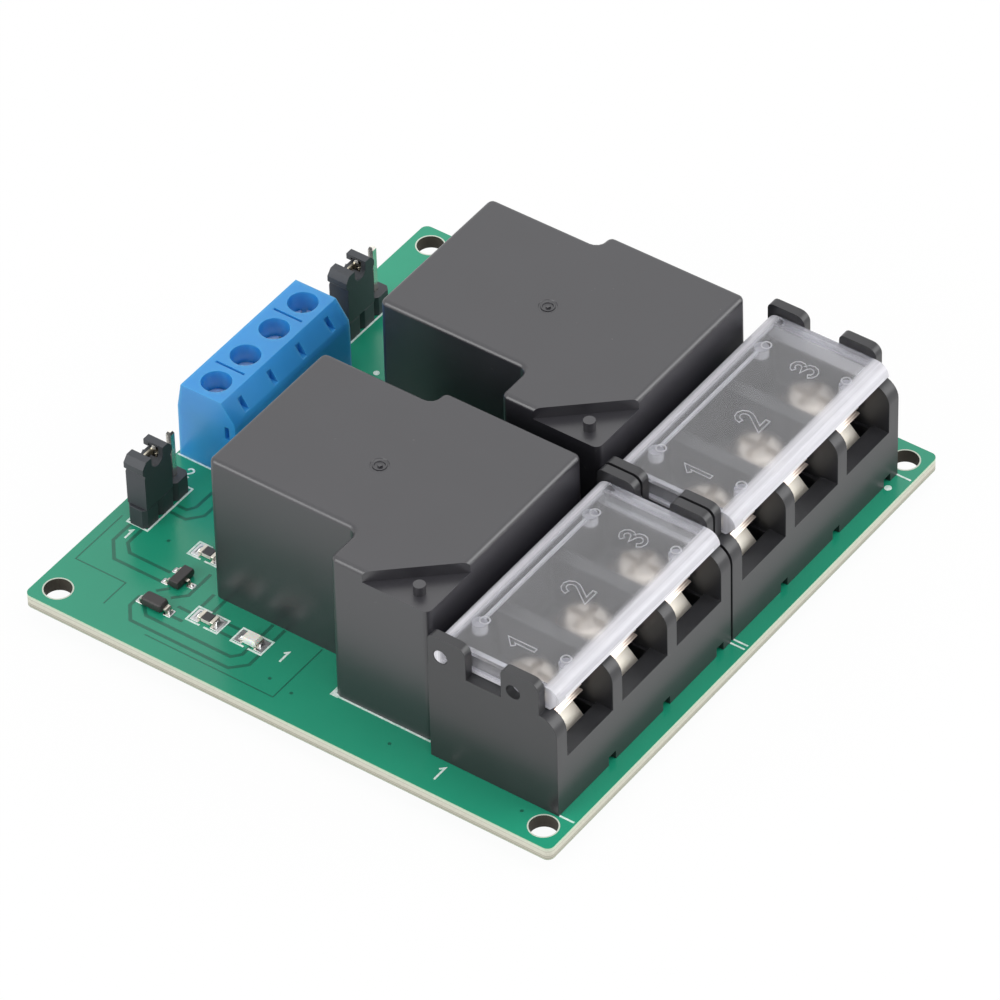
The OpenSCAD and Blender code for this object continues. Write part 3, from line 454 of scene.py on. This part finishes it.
# Solder: each lead was wave soldered from below, which left a bright cone round its end. Lead free solder sets with
# a slightly grainy skin.
solder, tree = new_material("tin_solder")
spot = add(tree, "TexCoord", out="Object")
grain = add(tree, "TexNoise", {"Vector": spot, "Scale": 1000 / 0.4, "Detail": 3})
tone = add(tree, "Mix", {"Factor_Float": grain, "A_Color": linear("#a9abae"), "B_Color": linear("#e0e0de")},
           data_type="RGBA")
rough = add(tree, "MapRange", {"Value": grain, "To Min": 0.2, "To Max": 0.42})
relief = add(tree, "Bump", {"Height": grain, "Strength": 0.25, "Distance": 0.05 * MM})
bsdf = add(tree, "BsdfPrincipled", {"Base Color": tone, "Metallic": 1.0, "Roughness": rough, "Normal": relief})
add(tree, "OutputMaterial", {"Surface": bsdf})
dress(["solder_joints"], solder)


# Relays: each is a sealed switch in a drafted case of dark grey PBT, injection moulded through the small dimple on
# its top, glued over a base plate. Its leads are tinned copper strips.
def moulded(name, low, high, rough, grain, depth, ior=1.55, deep=0.0):
    """A moulded plastic: two close tones in soft clouds, a little dust, and a fine spark eroded grain whose size and
    depth are in millimetres. Deep is the share of the light that wanders through it."""
    made, tree = new_material(name)
    spot = add(tree, "TexCoord", out="Object")
    cloud = add(tree, "TexNoise", {"Vector": spot, "Scale": 1000 / 6, "Detail": 4})
    fine = add(tree, "TexNoise", {"Vector": spot, "Scale": 1000 / grain, "Detail": 2})
    dust = add(tree, "TexNoise", {"Vector": spot, "Scale": 1000 / 1.1, "Detail": 5, "Roughness": 0.7})
    specks = add(tree, "MapRange", {"Value": dust, "From Min": 0.70, "From Max": 0.78, "To Max": 0.25})
    tone = add(tree, "Mix", {"Factor_Float": cloud, "A_Color": linear(low), "B_Color": linear(high)}, data_type="RGBA")
    tone = add(tree, "Mix", {"Factor_Float": specks, "A_Color": tone, "B_Color": linear("#b9b9b6")}, data_type="RGBA")
    sheen = add(tree, "MapRange", {"Value": cloud, "To Min": rough - 0.05, "To Max": rough + 0.05})
    relief = add(tree, "Bump", {"Height": fine, "Strength": 0.35, "Distance": depth * MM})
    add(tree, "OutputMaterial", {"Surface": add(tree, "BsdfPrincipled", {
        "Base Color": tone, "Roughness": sheen, "IOR": ior, "Normal": relief, "Subsurface Weight": deep,
        "Subsurface Radius": (1, 1, 1), "Subsurface Scale": 2.5 * MM})})
    return made


def turned(x, y, profile, steps=24):
    """A ring round a centre, turned from a closed profile of radius and height."""
    points = [(x + r * math.cos(math.tau * j / steps), y + r * math.sin(math.tau * j / steps), z)
              for j in range(steps) for r, z in profile]
    return points, tube_faces(steps, len(profile), closed=True)


def join_facets(node):
    """Joins the facets of a CAD node's flat faces with modifiers, and shades what is round as one surface."""
    if "custom_normal" in node.data.attributes:
        node.data.attributes.remove(node.data.attributes["custom_normal"])
    node.data.shade_smooth()
    node.modifiers.new("weld", "WELD").merge_threshold = 0.0005 * MM
    flat = node.modifiers.new("flat", "DECIMATE")
    flat.decimate_type = "DISSOLVE"
    flat.angle_limit = math.radians(0.6)


# Glass filled PBT: dark grey with a dull, even sheen. Its sides mirror the paper near the top and the board below.
case_plastic = moulded("relay_case_plastic", "#242328", "#2d2c31", 0.34, 0.16, 0.006, 1.78)
dress(numbered("relay_case"), case_plastic)
# The dimple's middle from the middle of the case, the depth of the mark's foot, and the radius of its broken stub
GATE_OFF = 0.5
GATE_FOOT = 0.3
STUB_R = 0.26
for i in CHANNELS:
    # The rounded edges are shaded as rounds, and the flat faces stay flat
    node = nodes[f"relay_case_{i}"]
    join_facets(node)
    node.modifiers.new("sharp_edges", "EDGE_SPLIT").split_angle = math.radians(38)
    node.modifiers.new("rounds", "WEIGHTED_NORMAL").weight = 100
    # Gate mark: a broken stub and a low ring in the dimple, and a ring along the dimple's rim, flush with the top
    low, high = place_of(f"relay_case_{i}")
    x, y, top = (low.x + high.x) / 2 - GATE_OFF, (low.y + high.y) / 2 + GATE_OFF, high.z
    stub = [(x + (STUB_R + 0.07 * math.sin(3 * a)) * math.cos(a), y + (STUB_R + 0.07 * math.cos(2 * a)) * math.sin(a))
            for a in [math.tau * k / 14 for k in range(14)]]
    foot = top - GATE_FOOT
    build(f"gate_mark_{i}", [
        turned(x, y, [(0.52, foot), (0.78, foot), (0.74, top - 0.07), (0.62, top - 0.05)], 32),
        turned(x, y, [(0.90, top - 0.2), (1.16, top - 0.2), (1.13, top - 0.002), (1.01, top - 0.002)], 40),
        stacked([[(*p, foot) for p in stub], [(*p, top - 0.12) for p in stub],
                 [(x + (u - x) * 0.7 + 0.05, y + (v - y) * 0.7, top - 0.04) for u, v in stub]])],
          case_plastic, "board", smooth=40)
dress(numbered("relay_base"), moulded("relay_base_plastic", "#202124", "#2b2c30", 0.5, 0.3, 0.01))


def plated(name, low, high, rough, grain, bump=0.15):
    """A plated or tinned metal: mottled between two tones, with fine drawn scratches along Z."""
    made, tree = new_material(name)
    spot = add(tree, "TexCoord", out="Object")
    drawn = add(tree, "Mapping", {"Vector": spot, "Scale": (1, 1, 0.12)})
    mottle = add(tree, "TexNoise", {"Vector": spot, "Scale": 1000 / 1.2, "Detail": 3})
    lines = add(tree, "TexNoise", {"Vector": drawn, "Scale": 1000 / grain, "Detail": 2})
    tone = add(tree, "Mix", {"Factor_Float": mottle, "A_Color": linear(low), "B_Color": linear(high)},
               data_type="RGBA")
    sheen = add(tree, "MapRange", {"Value": mottle, "To Min": rough - 0.08, "To Max": rough + 0.08})
    relief = add(tree, "Bump", {"Height": lines, "Strength": bump, "Distance": 0.02 * MM})
    add(tree, "OutputMaterial", {"Surface": add(tree, "BsdfPrincipled", {
        "Base Color": tone, "Metallic": 1.0, "Roughness": sheen, "Normal": relief})})
    return made


# Tinned copper: pale grey with a warm cast, softly mottled where the tin flowed.
tin = plated("tinned_copper", "#b8b2a6", "#ddd8cc", 0.28, 0.12)
dress(numbered("relay_pins") + ["terminal_contacts"], tin)


# Barrier blocks: each is a black moulded housing of three compartments with hinge ears at its ends. Nickel plated
# brass strips lie in its floor, and a square washer under each screw clamps the wire lugs.
def soften(names, width, segments=2):
    """Rounds the sharp edges of CAD nodes by a width in millimetres."""
    for name in names:
        join_facets(nodes[name])
        bevel = nodes[name].modifiers.new("bevel", "BEVEL")
        bevel.width = width * MM
        bevel.segments = segments
        bevel.limit_method = "ANGLE"
        bevel.angle_limit = math.radians(35)
        bevel.harden_normals = True
        bevel.use_clamp_overlap = True


# Flame proof nylon: nearly black with a soft sheen along its rounded edges.
nylon = moulded("block_housing_nylon", "#29292b", "#333336", 0.32, 0.2, 0.008, 1.53)
dress(numbered("block_housing"), nylon)
soften(numbered("block_housing"), 0.15)

# Nickel plated brass: warm white, with the yellow of the brass just showing through.
dress(numbered("block_contact_strips"), plated("nickel_plated_brass", "#f1e9da", "#fffcf4", 0.6, 0.1))
soften(numbered("block_contact_strips"), 0.08)
# Stamped steel, painted a dark brown grey as shade: much darker than the strips and screws.
POLES = range(1, 7)
dress(numbered("block_washer", POLES), plated("washer_steel_painted_shade", "#554c45", "#7d7268", 0.46, 0.1))
soften(numbered("block_washer", POLES), 0.08)
# Rolled ridges along the washers' front edge, painted pale pink and bright as highlights on the metal. Each ridge
# has its reach forwards, and how far it stays short of the washer's low and high end.
copper = plated("ridge_metal_painted_highlight", "#f6dfcf", "#fff4ea", 0.36, 0.1)
RIDGES = ((0.12, 0.9, 0.1), (0.22, 0.3, 0.5), (0.32, 0.6, 0.2))
RIDGE_TOP = 0.08
RIDGE_STEP = 0.27
for n in POLES:
    low, high = place_of(f"block_washer_{n}")
    back = high.x - 0.1
    ridges = []
    for k, (reach, short, end) in enumerate(RIDGES):
        z = high.z - RIDGE_TOP - RIDGE_STEP * k
        front = high.x + reach
        ridges.append(stacked([
            [(back, y, z - 0.07 + lift), (front, y, z - 0.07 + lift), (front - 0.12, y, z + 0.06 + lift),
             (back, y, z + 0.06 + lift)] for y, lift in ((low.y + short, 0.0), (high.y - end, 0.05 - 0.04 * k))]))
    build(f"washer_ridges_{n}", ridges, copper, f"barrier_washer_{n}")


# Screws: cold headed steel with a slot and a cross in the head and a rolled M3 thread, nickel plated. The thread is
# a true helix of 0.5 mm pitch, so that one turn lifts the washer as far as the joints say.
THREAD_PITCH = 0.5
THREAD_DEPTH = 0.55 * THREAD_PITCH
ROWS_PER_TURN = 6
SCREW_STEPS = 24
CROWN_STEPS = 7
HEAD_CHAMFER = 0.12


def middle_of(name):
    """The middle of a CAD node's box in millimetres of the board."""
    low, high = place_of(name)
    return (low + high) / 2


def screw(centre, head_z, head_d, head_h, crown, shank_d, shank_l, cuts, angle=0.0):
    """A threaded screw as one closed solid, and the boxes that cut its drive, all in board millimetres. A cut has a
    length, a width and the height of its floor, and the second one lies across the first."""
    loops = []
    rows = round(shank_l / THREAD_PITCH * ROWS_PER_TURN)
    for j in range(rows + 1):
        z = -shank_l + shank_l * j / rows
        taper = min(1.0, (z + shank_l) / (1.2 * THREAD_PITCH))
        runout = min(1.0, -z / (0.8 * THREAD_PITCH))
        loop = []
        for i in range(SCREW_STEPS):
            wave = ((z / THREAD_PITCH - i / SCREW_STEPS) % 1.0) * 2 - 1
            r = shank_d / 2 - THREAD_DEPTH * (1 - abs(wave)) * taper * runout - 0.3 * (1 - taper)
            loop.append((r, i, z))
        loops.append(loop)
    ring = [(head_d / 2 - HEAD_CHAMFER, 0.0), (head_d / 2, HEAD_CHAMFER), (head_d / 2, head_h - crown)]
    for k in range(1, CROWN_STEPS + 1):
        a = math.pi / 2 * k / CROWN_STEPS
        ring.append((head_d / 2 - crown * (1 - math.cos(a)), head_h - crown + crown * math.sin(a)))
    loops += [[(r, i, z) for i in range(SCREW_STEPS)] for r, z in ring]
    ways = [(math.cos(math.tau * i / SCREW_STEPS), math.sin(math.tau * i / SCREW_STEPS)) for i in range(SCREW_STEPS)]
    points = [[(centre[0] + r * ways[i][0], centre[1] + r * ways[i][1], head_z + z) for r, i, z in loop]
              for loop in loops]
    boxes = []
    c, s = math.cos(angle), math.sin(angle)
    for length, width, floor_z in cuts:
        corner = [(centre[0] + a * length / 2 * c - b * width / 2 * s,
                   centre[1] + a * length / 2 * s + b * width / 2 * c) for a, b in ((-1, -1), (1, -1), (1, 1), (-1, 1))]
        boxes.append(stacked([[(*p, head_z + z) for p in corner] for z in (floor_z, head_h + 1)]))
        c, s = -s, c
    return stacked(points), boxes


def cut_piece(name, solid, boxes, material, body, node):
    """Cuts the boxes out of a solid with a Boolean and keeps the result as the piece's mesh, with sharp cuts."""
    made = build(name, [solid], material, body, node, smooth=30)
    tools = []
    for box in boxes:
        tool = build(name + "_tool", [box], material, body)
        knife = made.modifiers.new("drive", "BOOLEAN")
        knife.object = tool
        knife.solver = "EXACT"
        tools.append(tool)
    bpy.context.view_layer.update()
    shape = bpy.data.meshes.new_from_object(made.evaluated_get(bpy.context.evaluated_depsgraph_get()))
    made.modifiers.clear()
    made.data = shape
    for tool in tools:
        bpy.data.objects.remove(tool)
    shape.shade_smooth()
    shape.set_sharp_from_angle(angle=math.radians(30))


# Nickel plated steel that has been driven once: dull, a little yellow, with a satin crown.
screw_nickel = plated("nickel_plated_steel", "#b3a89e", "#e6ded4", 0.42, 0.14, 0.25)
BARRIER_SCREW = {"head_d": 5.6, "head_h": 2.15, "crown": 1.2, "shank_d": 3.0, "shank_l": 7.5,
                 "cuts": [(7.6, 0.9, 1.25), (3.8, 0.9, 1.25)]}
for n in POLES:
    solid, boxes = screw(middle_of(f"block_screw_{n}"), place_of(f"block_washer_{n}")[1].z, **BARRIER_SCREW)
    name = f"barrier_screw_{n}"
    cut_piece(name, solid, boxes, screw_nickel, name, f"block_screw_{n}")


# Covers: moulded polycarbonate that snaps into the ears of the blocks and hinges up. The sheet is clear with a faint
# milky haze. Its rolled edges, its pegs and rib and its lowest edges are painted white as highlights, and its end
# skirts stay clearer.
SHEET_T = 1.0
EAR_T = 1.1
COVER_CLEAR = 0.12
cover_low, cover_high = place_of("block_cover_1")
front_x = cover_high.x - board_w / 2
back_x = cover_low.x - board_w / 2
# Half the length of a cover between the ears, and its middle along Y, from the middle of the board
block_low, block_high = place_of("block_housing_1")
cover_half = (block_high.y - block_low.y) / 2 - EAR_T - COVER_CLEAR
cover_y = abs((block_high.y + block_low.y) / 2 - board_d / 2)


def clear_sheet(name, haze, rough, bands=(), under=None, foot=None):
    """A clear moulded plastic in which a share of the light scatters. A band gives where along X the share rises, in
    millimetres, and to what, and so paints a white highlight there. Pegs and ribs below the height under are painted
    white as highlights, and so are edges below the height foot, both in metres of the frame."""
    made, tree = new_material(name)
    spot = add(tree, "TexCoord", out="Object")
    flow = add(tree, "TexNoise", {"Vector": spot, "Scale": 1000 / 5, "Detail": 2})
    drawn = add(tree, "Mapping", {"Vector": spot, "Scale": (1, 0.01, 0)})
    streaks = add(tree, "TexNoise", {"Vector": drawn, "Scale": 1000 / 0.4, "Detail": 2})
    amount = add(tree, "MapRange", {"Value": flow, "To Min": haze * 0.7, "To Max": haze * 1.3})
    uneven = add(tree, "MapRange", {"Value": streaks, "From Min": 0.3, "From Max": 0.7, "To Min": 0.7, "To Max": 1.1})
    across = add(tree, "SeparateXYZ", {"Vector": spot}, out="X")
    # Each band paints a white highlight along a rolled edge
    for start, end, share in bands:
        near = add(tree, "MapRange", {"Value": across, "From Min": start * MM, "From Max": end * MM, "To Max": share},
                   interpolation_type="SMOOTHSTEP")
        near = add(tree, "Math", {"Value": near, "Value_001": uneven}, operation="MULTIPLY")
        amount = add(tree, "Math", {"Value": amount, "Value_001": near}, operation="MAXIMUM")
    # Pegs, ribs and the lowest edges are painted white as highlights
    if under:
        height = add(tree, "SeparateXYZ", {"Vector": spot}, out="Z")
        along = add(tree, "SeparateXYZ", {"Vector": spot}, out="Y")
        along = add(tree, "Math", {"Value": along}, operation="ABSOLUTE")
        along = add(tree, "Math", {"Value": along, "Value_001": cover_y * MM}, operation="SUBTRACT")
        along = add(tree, "Math", {"Value": along}, operation="ABSOLUTE")
        inner = add(tree, "MapRange", {"Value": along, "From Min": (cover_half - SHEET_T) * MM,
                                       "From Max": (cover_half - SHEET_T - 0.1) * MM, "To Min": 0.2, "To Max": 0.9})
        thick = add(tree, "MapRange", {"Value": height, "From Min": under, "From Max": under - 0.1 * MM})
        thick = add(tree, "Math", {"Value": thick, "Value_001": inner}, operation="MULTIPLY")
        amount = add(tree, "Math", {"Value": amount, "Value_001": thick}, operation="MAXIMUM")
        painted_edge_highlight = add(tree, "MapRange", {"Value": height, "From Min": foot, "From Max": foot - 0.05 * MM,
                                          "To Max": 0.95})
        amount = add(tree, "Math", {"Value": amount, "Value_001": painted_edge_highlight}, operation="MAXIMUM")
    relief = add(tree, "Bump", {"Height": flow, "Strength": 0.05, "Distance": 0.1 * MM})
    clear = add(tree, "BsdfPrincipled", {"Base Color": linear("#fbfcfd"), "Roughness": rough, "IOR": 1.49,
                                         "Transmission Weight": 1.0, "Normal": relief})
    milk = add(tree, "BsdfPrincipled", {"Base Color": linear("#dedde3"), "Roughness": 0.3, "IOR": 1.49,
                                        "Normal": relief})
    body = add(tree, "MixShader", {"Fac": amount, "Shader": clear, "Shader_001": milk})
    # Shadow rays pass the sheet at a grey, which paints shade under the cover, darker than a clear sheet casts
    through = add(tree, "BsdfTransparent", {"Color": linear("#989a9f")})
    shade = add(tree, "LightPath", out="Is Shadow Ray")
    whole = add(tree, "MixShader", {"Fac": shade, "Shader": body, "Shader_001": through})
    add(tree, "OutputMaterial", {"Surface": whole})
    return made


# Polycarbonate: water clear with a slight haze, and its thick rolled edges painted white as highlights where they
# gather the light.
cover_foot, cover_top = (corner.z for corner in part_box("block_cover_1"))
clear = clear_sheet("clear_polycarbonate", 0.06, 0.18,
                    [(front_x - 2.3, front_x - 1.3, 0.78), (back_x + 2.0, back_x + 1.0, 0.9)],
                    cover_top - (SHEET_T + 0.03) * MM, cover_foot + 0.35 * MM)
dress(numbered("block_cover"), clear)
soften(numbered("block_cover"), 0.1)

# Outlined numbers of the poles stand 0.05 mm proud of the sheet, and so do the rings of the moulding pins over its
# four pegs.
marks = clear_sheet("frosted_polycarbonate", 0.32, 0.3)
DIGIT_H = {"1": 2.9, "2": 3.1, "3": 2.7}
DIGIT_W = 0.48
DIGIT_LINE = 0.1
MARK_SINK = 0.03
MARK_RISE = 0.05
PEG_BACK = 2.85
PEG_FRONT = 2.3
for i in CHANNELS:
    low, high = place_of(f"block_cover_{i}")
    z0, z1 = high.z - MARK_SINK, high.z + MARK_RISE
    solids = []
    for k, digit in enumerate("123"):
        middle = middle_of(f"block_screw_{3 * (i - 1) + k + 1}")
        h = DIGIT_H[digit]
        stroke = [(middle.x + 1.3 - b * h, middle.y - 1.7 + 0.9 * a * h) for a, b in DIGITS[digit]]
        left, right = sides(stroke, DIGIT_W)
        solids.append(strip([tuple(p) for p in left + right[::-1]], DIGIT_LINE, z0, z1, closed=True))
        if digit != "2":
            solids += [turned(x, middle.y, [(0.42, z0), (0.62, z0), (0.58, z1), (0.46, z1)])
                       for x in (low.x + PEG_BACK, high.x - PEG_FRONT)]
    build(f"cover_numbers_{i}", solids, marks, f"cover_{i}")

# Wire terminal: four ways in one blue housing of nylon, each with a screw down a round well. The screw draws up a
# steel clamp that grips the wire under the fixed contact.
# Polyamide 66: bright blue with a soft satin sheen.
dress(["terminal_housing"], moulded("blue_polyamide", "#2b8bd0", "#3b9adc", 0.3, 0.25, 0.008, 1.53, 0.4))
soften(["terminal_housing"], 0.22, 3)
# Zinc plated steel: bluish white and bright.
WAYS = range(1, 5)
dress(numbered("terminal_clamp", WAYS), plated("zinc_plated_steel", "#ccd0d4", "#f2f4f6", 0.2, 0.12))
# Zinc plated and tumbled: paler and more satin than the clamps. Each screw stands at another angle.
tumbled_zinc = plated("tumbled_zinc_plate", "#e4e8ec", "#ffffff", 0.42, 0.12)
WIRE_HEAD_H = 1.2
for n in WAYS:
    low, high = place_of(f"terminal_screw_{n}")
    seat = high.z - WIRE_HEAD_H
    solid, boxes = screw((low + high) / 2, seat, 3.16, WIRE_HEAD_H, 0.45, 2.5, seat - low.z, [(5.0, 0.6, 0.4)],
                         math.radians(20 + 35 * (n - 1)))
    name = f"wire_screw_{n}"
    cut_piece(name, solid, boxes, tumbled_zinc, name, f"terminal_screw_{n}")

# Headers and jumpers: three square pins in a row in black bases, and a shorting cap on two of them. The cap holds a
# folded spring contact of tin flashed bronze.
# Glass filled polyester: blue black and nearly matt.
black_nodes = numbered("header_base") + numbered("jumper_housing")
dress(black_nodes, moulded("header_polyester", "#33363b", "#3f4247", 0.5, 0.14, 0.006, 1.5))
soften(black_nodes, 0.06)
# Bright tin plate: nearly white, so a side that mirrors the paper melts into it.
dress(numbered("header_pins"), plated("bright_tin_plate", "#e4e0d6", "#faf7f0", 0.22, 0.12))
# Tin flashed bronze: cream and satin.
dress(numbered("jumper_contact"), plated("tin_flashed_bronze", "#e3d9c0", "#fbf5e4", 0.42, 0.1))


# Surface parts: soldered flat on pads by reflow. Each body is moulded or printed round its chip, and the solder has
# climbed its metal ends in small hollow fillets.
CORNER_STEPS = 4


def rounded(cx, cy, w, d, r, z):
    """A rounded rectangle round a centre at height z."""
    loop = []
    for sx, sy, start in ((1, 1, 0), (-1, 1, 90), (-1, -1, 180), (1, -1, 270)):
        for k in range(CORNER_STEPS + 1):
            a = math.radians(start + 90 * k / CORNER_STEPS)
            loop.append((cx + sx * (w / 2 - r) + r * math.cos(a), cy + sy * (d / 2 - r) + r * math.sin(a), z))
    return loop


def slab(cx, cy, w, d, z0, z1, r, edge, draft=0.0):
    """A flat body with rounded corners, softened edges and sides that lean in by a draft at its top and bottom."""
    return stacked([rounded(cx, cy, w - 2 * inset, d - 2 * inset, r, z) for inset, z in (
        (draft + edge, z0), (draft, z0 + edge), (0, (z0 + z1) / 2), (draft, z1 - edge), (draft + edge, z1))])


def fillet(cx, cy, w, d, h, lean):
    """Solder that rises from a pad in a hollow curve towards a metal end, leaning along X."""
    return stacked([rounded(cx + lean * (1 - share), cy, w * share, d * share, 0.12 * share, z * h) for z, share in (
        (0.0, 1.0), (0.06, 0.9), (0.2, 0.66), (0.45, 0.46), (0.75, 0.36), (1.0, 0.22))])


def bent_strip(profile, y, width):
    """A flat lead bent along X and Z, as wide as given along Y."""
    return stacked([[(x, y + s * width / 2, z) for x, z in profile] for s in (-1, 1)])


PAD_SINK = 0.03
PAD_RISE = 0.05


def chip_pads(middle, out, w, d, h, lean):
    """Both pads of a chip, with fillets of the given size that stand out from its middle and lean back to it."""
    return [solid for s in (-1, 1) for solid in (
        slab(middle.x + s * 1.28, middle.y, 1.08, 1.8, -PAD_SINK, 0.04, 0.08, 0.02),
        fillet(middle.x + s * out, middle.y, w, d, h, -s * lean))]


# Epoxy mould compound: brown black and dull with fine filler grains.
epoxy = moulded("epoxy_mould_compound", "#2a2727", "#383434", 0.5, 0.1, 0.006)
# Printed glass over ceramic: smooth black with a slight shine.
glaze = moulded("resistor_glaze", "#1c1c20", "#29292d", 0.3, 0.2, 0.003)
# Alumina ceramic: chalk white, seen at the resistor's ends and sides.
ceramic = moulded("alumina_ceramic", "#d8cfc8", "#ece5de", 0.5, 0.1, 0.004)
# Clear epoxy over a pale phosphor: cream, glossy and slightly cloudy.
resin, tree = new_material("lamp_resin")
spot = add(tree, "TexCoord", out="Object")
cloud = add(tree, "TexNoise", {"Vector": spot, "Scale": 1000 / 0.5, "Detail": 3})
cream = add(tree, "Mix", {"Factor_Float": cloud, "A_Color": linear("#f3ecd9"), "B_Color": linear("#ffffff")},
            data_type="RGBA")
relief = add(tree, "Bump", {"Height": cloud, "Strength": 0.2, "Distance": 0.03 * MM})
bsdf = add(tree, "BsdfPrincipled", {"Base Color": cream, "Roughness": 0.28, "IOR": 1.52, "Normal": relief,
                                    "Subsurface Weight": 0.3, "Subsurface Scale": 0.4 * MM})
add(tree, "OutputMaterial", {"Surface": bsdf})

# Side profiles of the bent leads, out from the middle of the part
GULL_WING = [(0.5, 0.42), (0.82, 0.42), (0.93, 0.34), (0.98, 0.06), (1.06, 0.0), (1.33, 0.0), (1.33, 0.14),
             (1.1, 0.15), (1.06, 0.42), (0.98, 0.54), (0.5, 0.56)]
DIODE_LEAD = [(1.2, 0.5), (1.5, 0.5), (1.62, 0.4), (1.66, 0.02), (1.9, 0.02), (1.9, 0.16), (1.78, 0.2),
              (1.74, 0.52), (1.6, 0.64), (1.2, 0.64)]
for i in CHANNELS:
    # Transistor: three gull wing leads, two towards the board's edge and one towards the relay
    mid = middle_of(f"transistor_{i}")
    build(f"transistor_body_{i}", [slab(mid.x, mid.y, 1.3, 2.9, 0.1, 1.0, 0.08, 0.05, 0.07)], epoxy, "board",
          f"transistor_{i}", smooth=25)
    leads, pads = [], []
    for s, y in ((-1, -0.95), (-1, 0.95), (1, 0.0)):
        leads.append(bent_strip([(mid.x + s * x, z + 0.03) for x, z in GULL_WING], mid.y + y, 0.42))
        pads.append(slab(mid.x + s * 1.25, mid.y + y, 0.9, 0.8, -PAD_SINK, PAD_RISE, 0.1, 0.03))
        pads.append(fillet(mid.x + s * 1.45, mid.y + y, 0.6, 0.62, 0.22, -s * 0.15))
    build(f"transistor_leads_{i}", leads, tin, "board", smooth=25)

    # Diode: a flat body with a lead bent down at each end, and a fuller bead of solder at the end towards the relay
    mid = middle_of(f"diode_{i}")
    build(f"diode_body_{i}", [slab(mid.x - 0.1, mid.y, 2.7, 1.6, 0.1, 1.1, 0.3, 0.12, 0.08)], epoxy, "board",
          f"diode_{i}", smooth=30)
    leads = []
    for s, bead in ((-1, 0.25), (1, 0.4)):
        leads.append(bent_strip([(mid.x + s * x, z) for x, z in DIODE_LEAD], mid.y, 0.9))
        pads.append(slab(mid.x + s * 1.75, mid.y, 0.95, 1.15, -PAD_SINK, PAD_RISE, 0.12, 0.03))
        pads.append(fillet(mid.x + s * 1.85, mid.y, 0.75, 1.05, bead, -s * 0.12))
    build(f"diode_leads_{i}", leads, tin, "board", smooth=25)

    # Chip resistors: a ceramic bar, a black glaze on its top, metal caps on its ends
    for n in (2 * i - 1, 2 * i):
        mid = middle_of(f"resistor_{n}")
        build(f"resistor_bar_{n}", [slab(mid.x, mid.y, 1.9, 1.19, 0.04, 0.48, 0.04, 0.03)], ceramic, "board",
              f"resistor_{n}", smooth=30)
        build(f"resistor_glaze_{n}", [slab(mid.x, mid.y, 1.08, 1.15, 0.44, 0.54, 0.05, 0.03)], glaze, "board",
              smooth=30)
        caps = [slab(mid.x + s * 0.78, mid.y, 0.44, 1.25, 0.0, 0.54, 0.05, 0.04) for s in (-1, 1)]
        build(f"resistor_caps_{n}", caps, tin, "board", smooth=30)
        pads += chip_pads(mid, 1.2, 0.8, 1.5, 0.42, 0.16)

    # Indicator lamp: a domed resin window on a thin carrier with metal ends
    mid = middle_of(f"indicator_lamp_{i}")
    dome = stacked([rounded(mid.x, mid.y, 1.84 - 0.34 * k * k, 1.46 - 0.34 * k * k, 0.14, 0.3 + 0.5 * k)
                    for k in (0, 0.25, 0.5, 0.75, 0.9, 1.0)])
    carrier = slab(mid.x, mid.y, 1.9, 1.42, 0.03, 0.38, 0.04, 0.03)
    build(f"lamp_window_{i}", [dome, carrier], resin, "board", f"indicator_lamp_{i}", smooth=35)
    caps = [slab(mid.x + s * 0.86, mid.y, 0.28, 1.46, 0.0, 0.4, 0.04, 0.03) for s in (-1, 1)]
    build(f"lamp_caps_{i}", caps, tin, "board", smooth=30)
    pads += chip_pads(mid, 1.22, 0.7, 1.4, 0.32, 0.14)
    build(f"reflow_solder_{i}", pads, solder, "board", smooth=30)
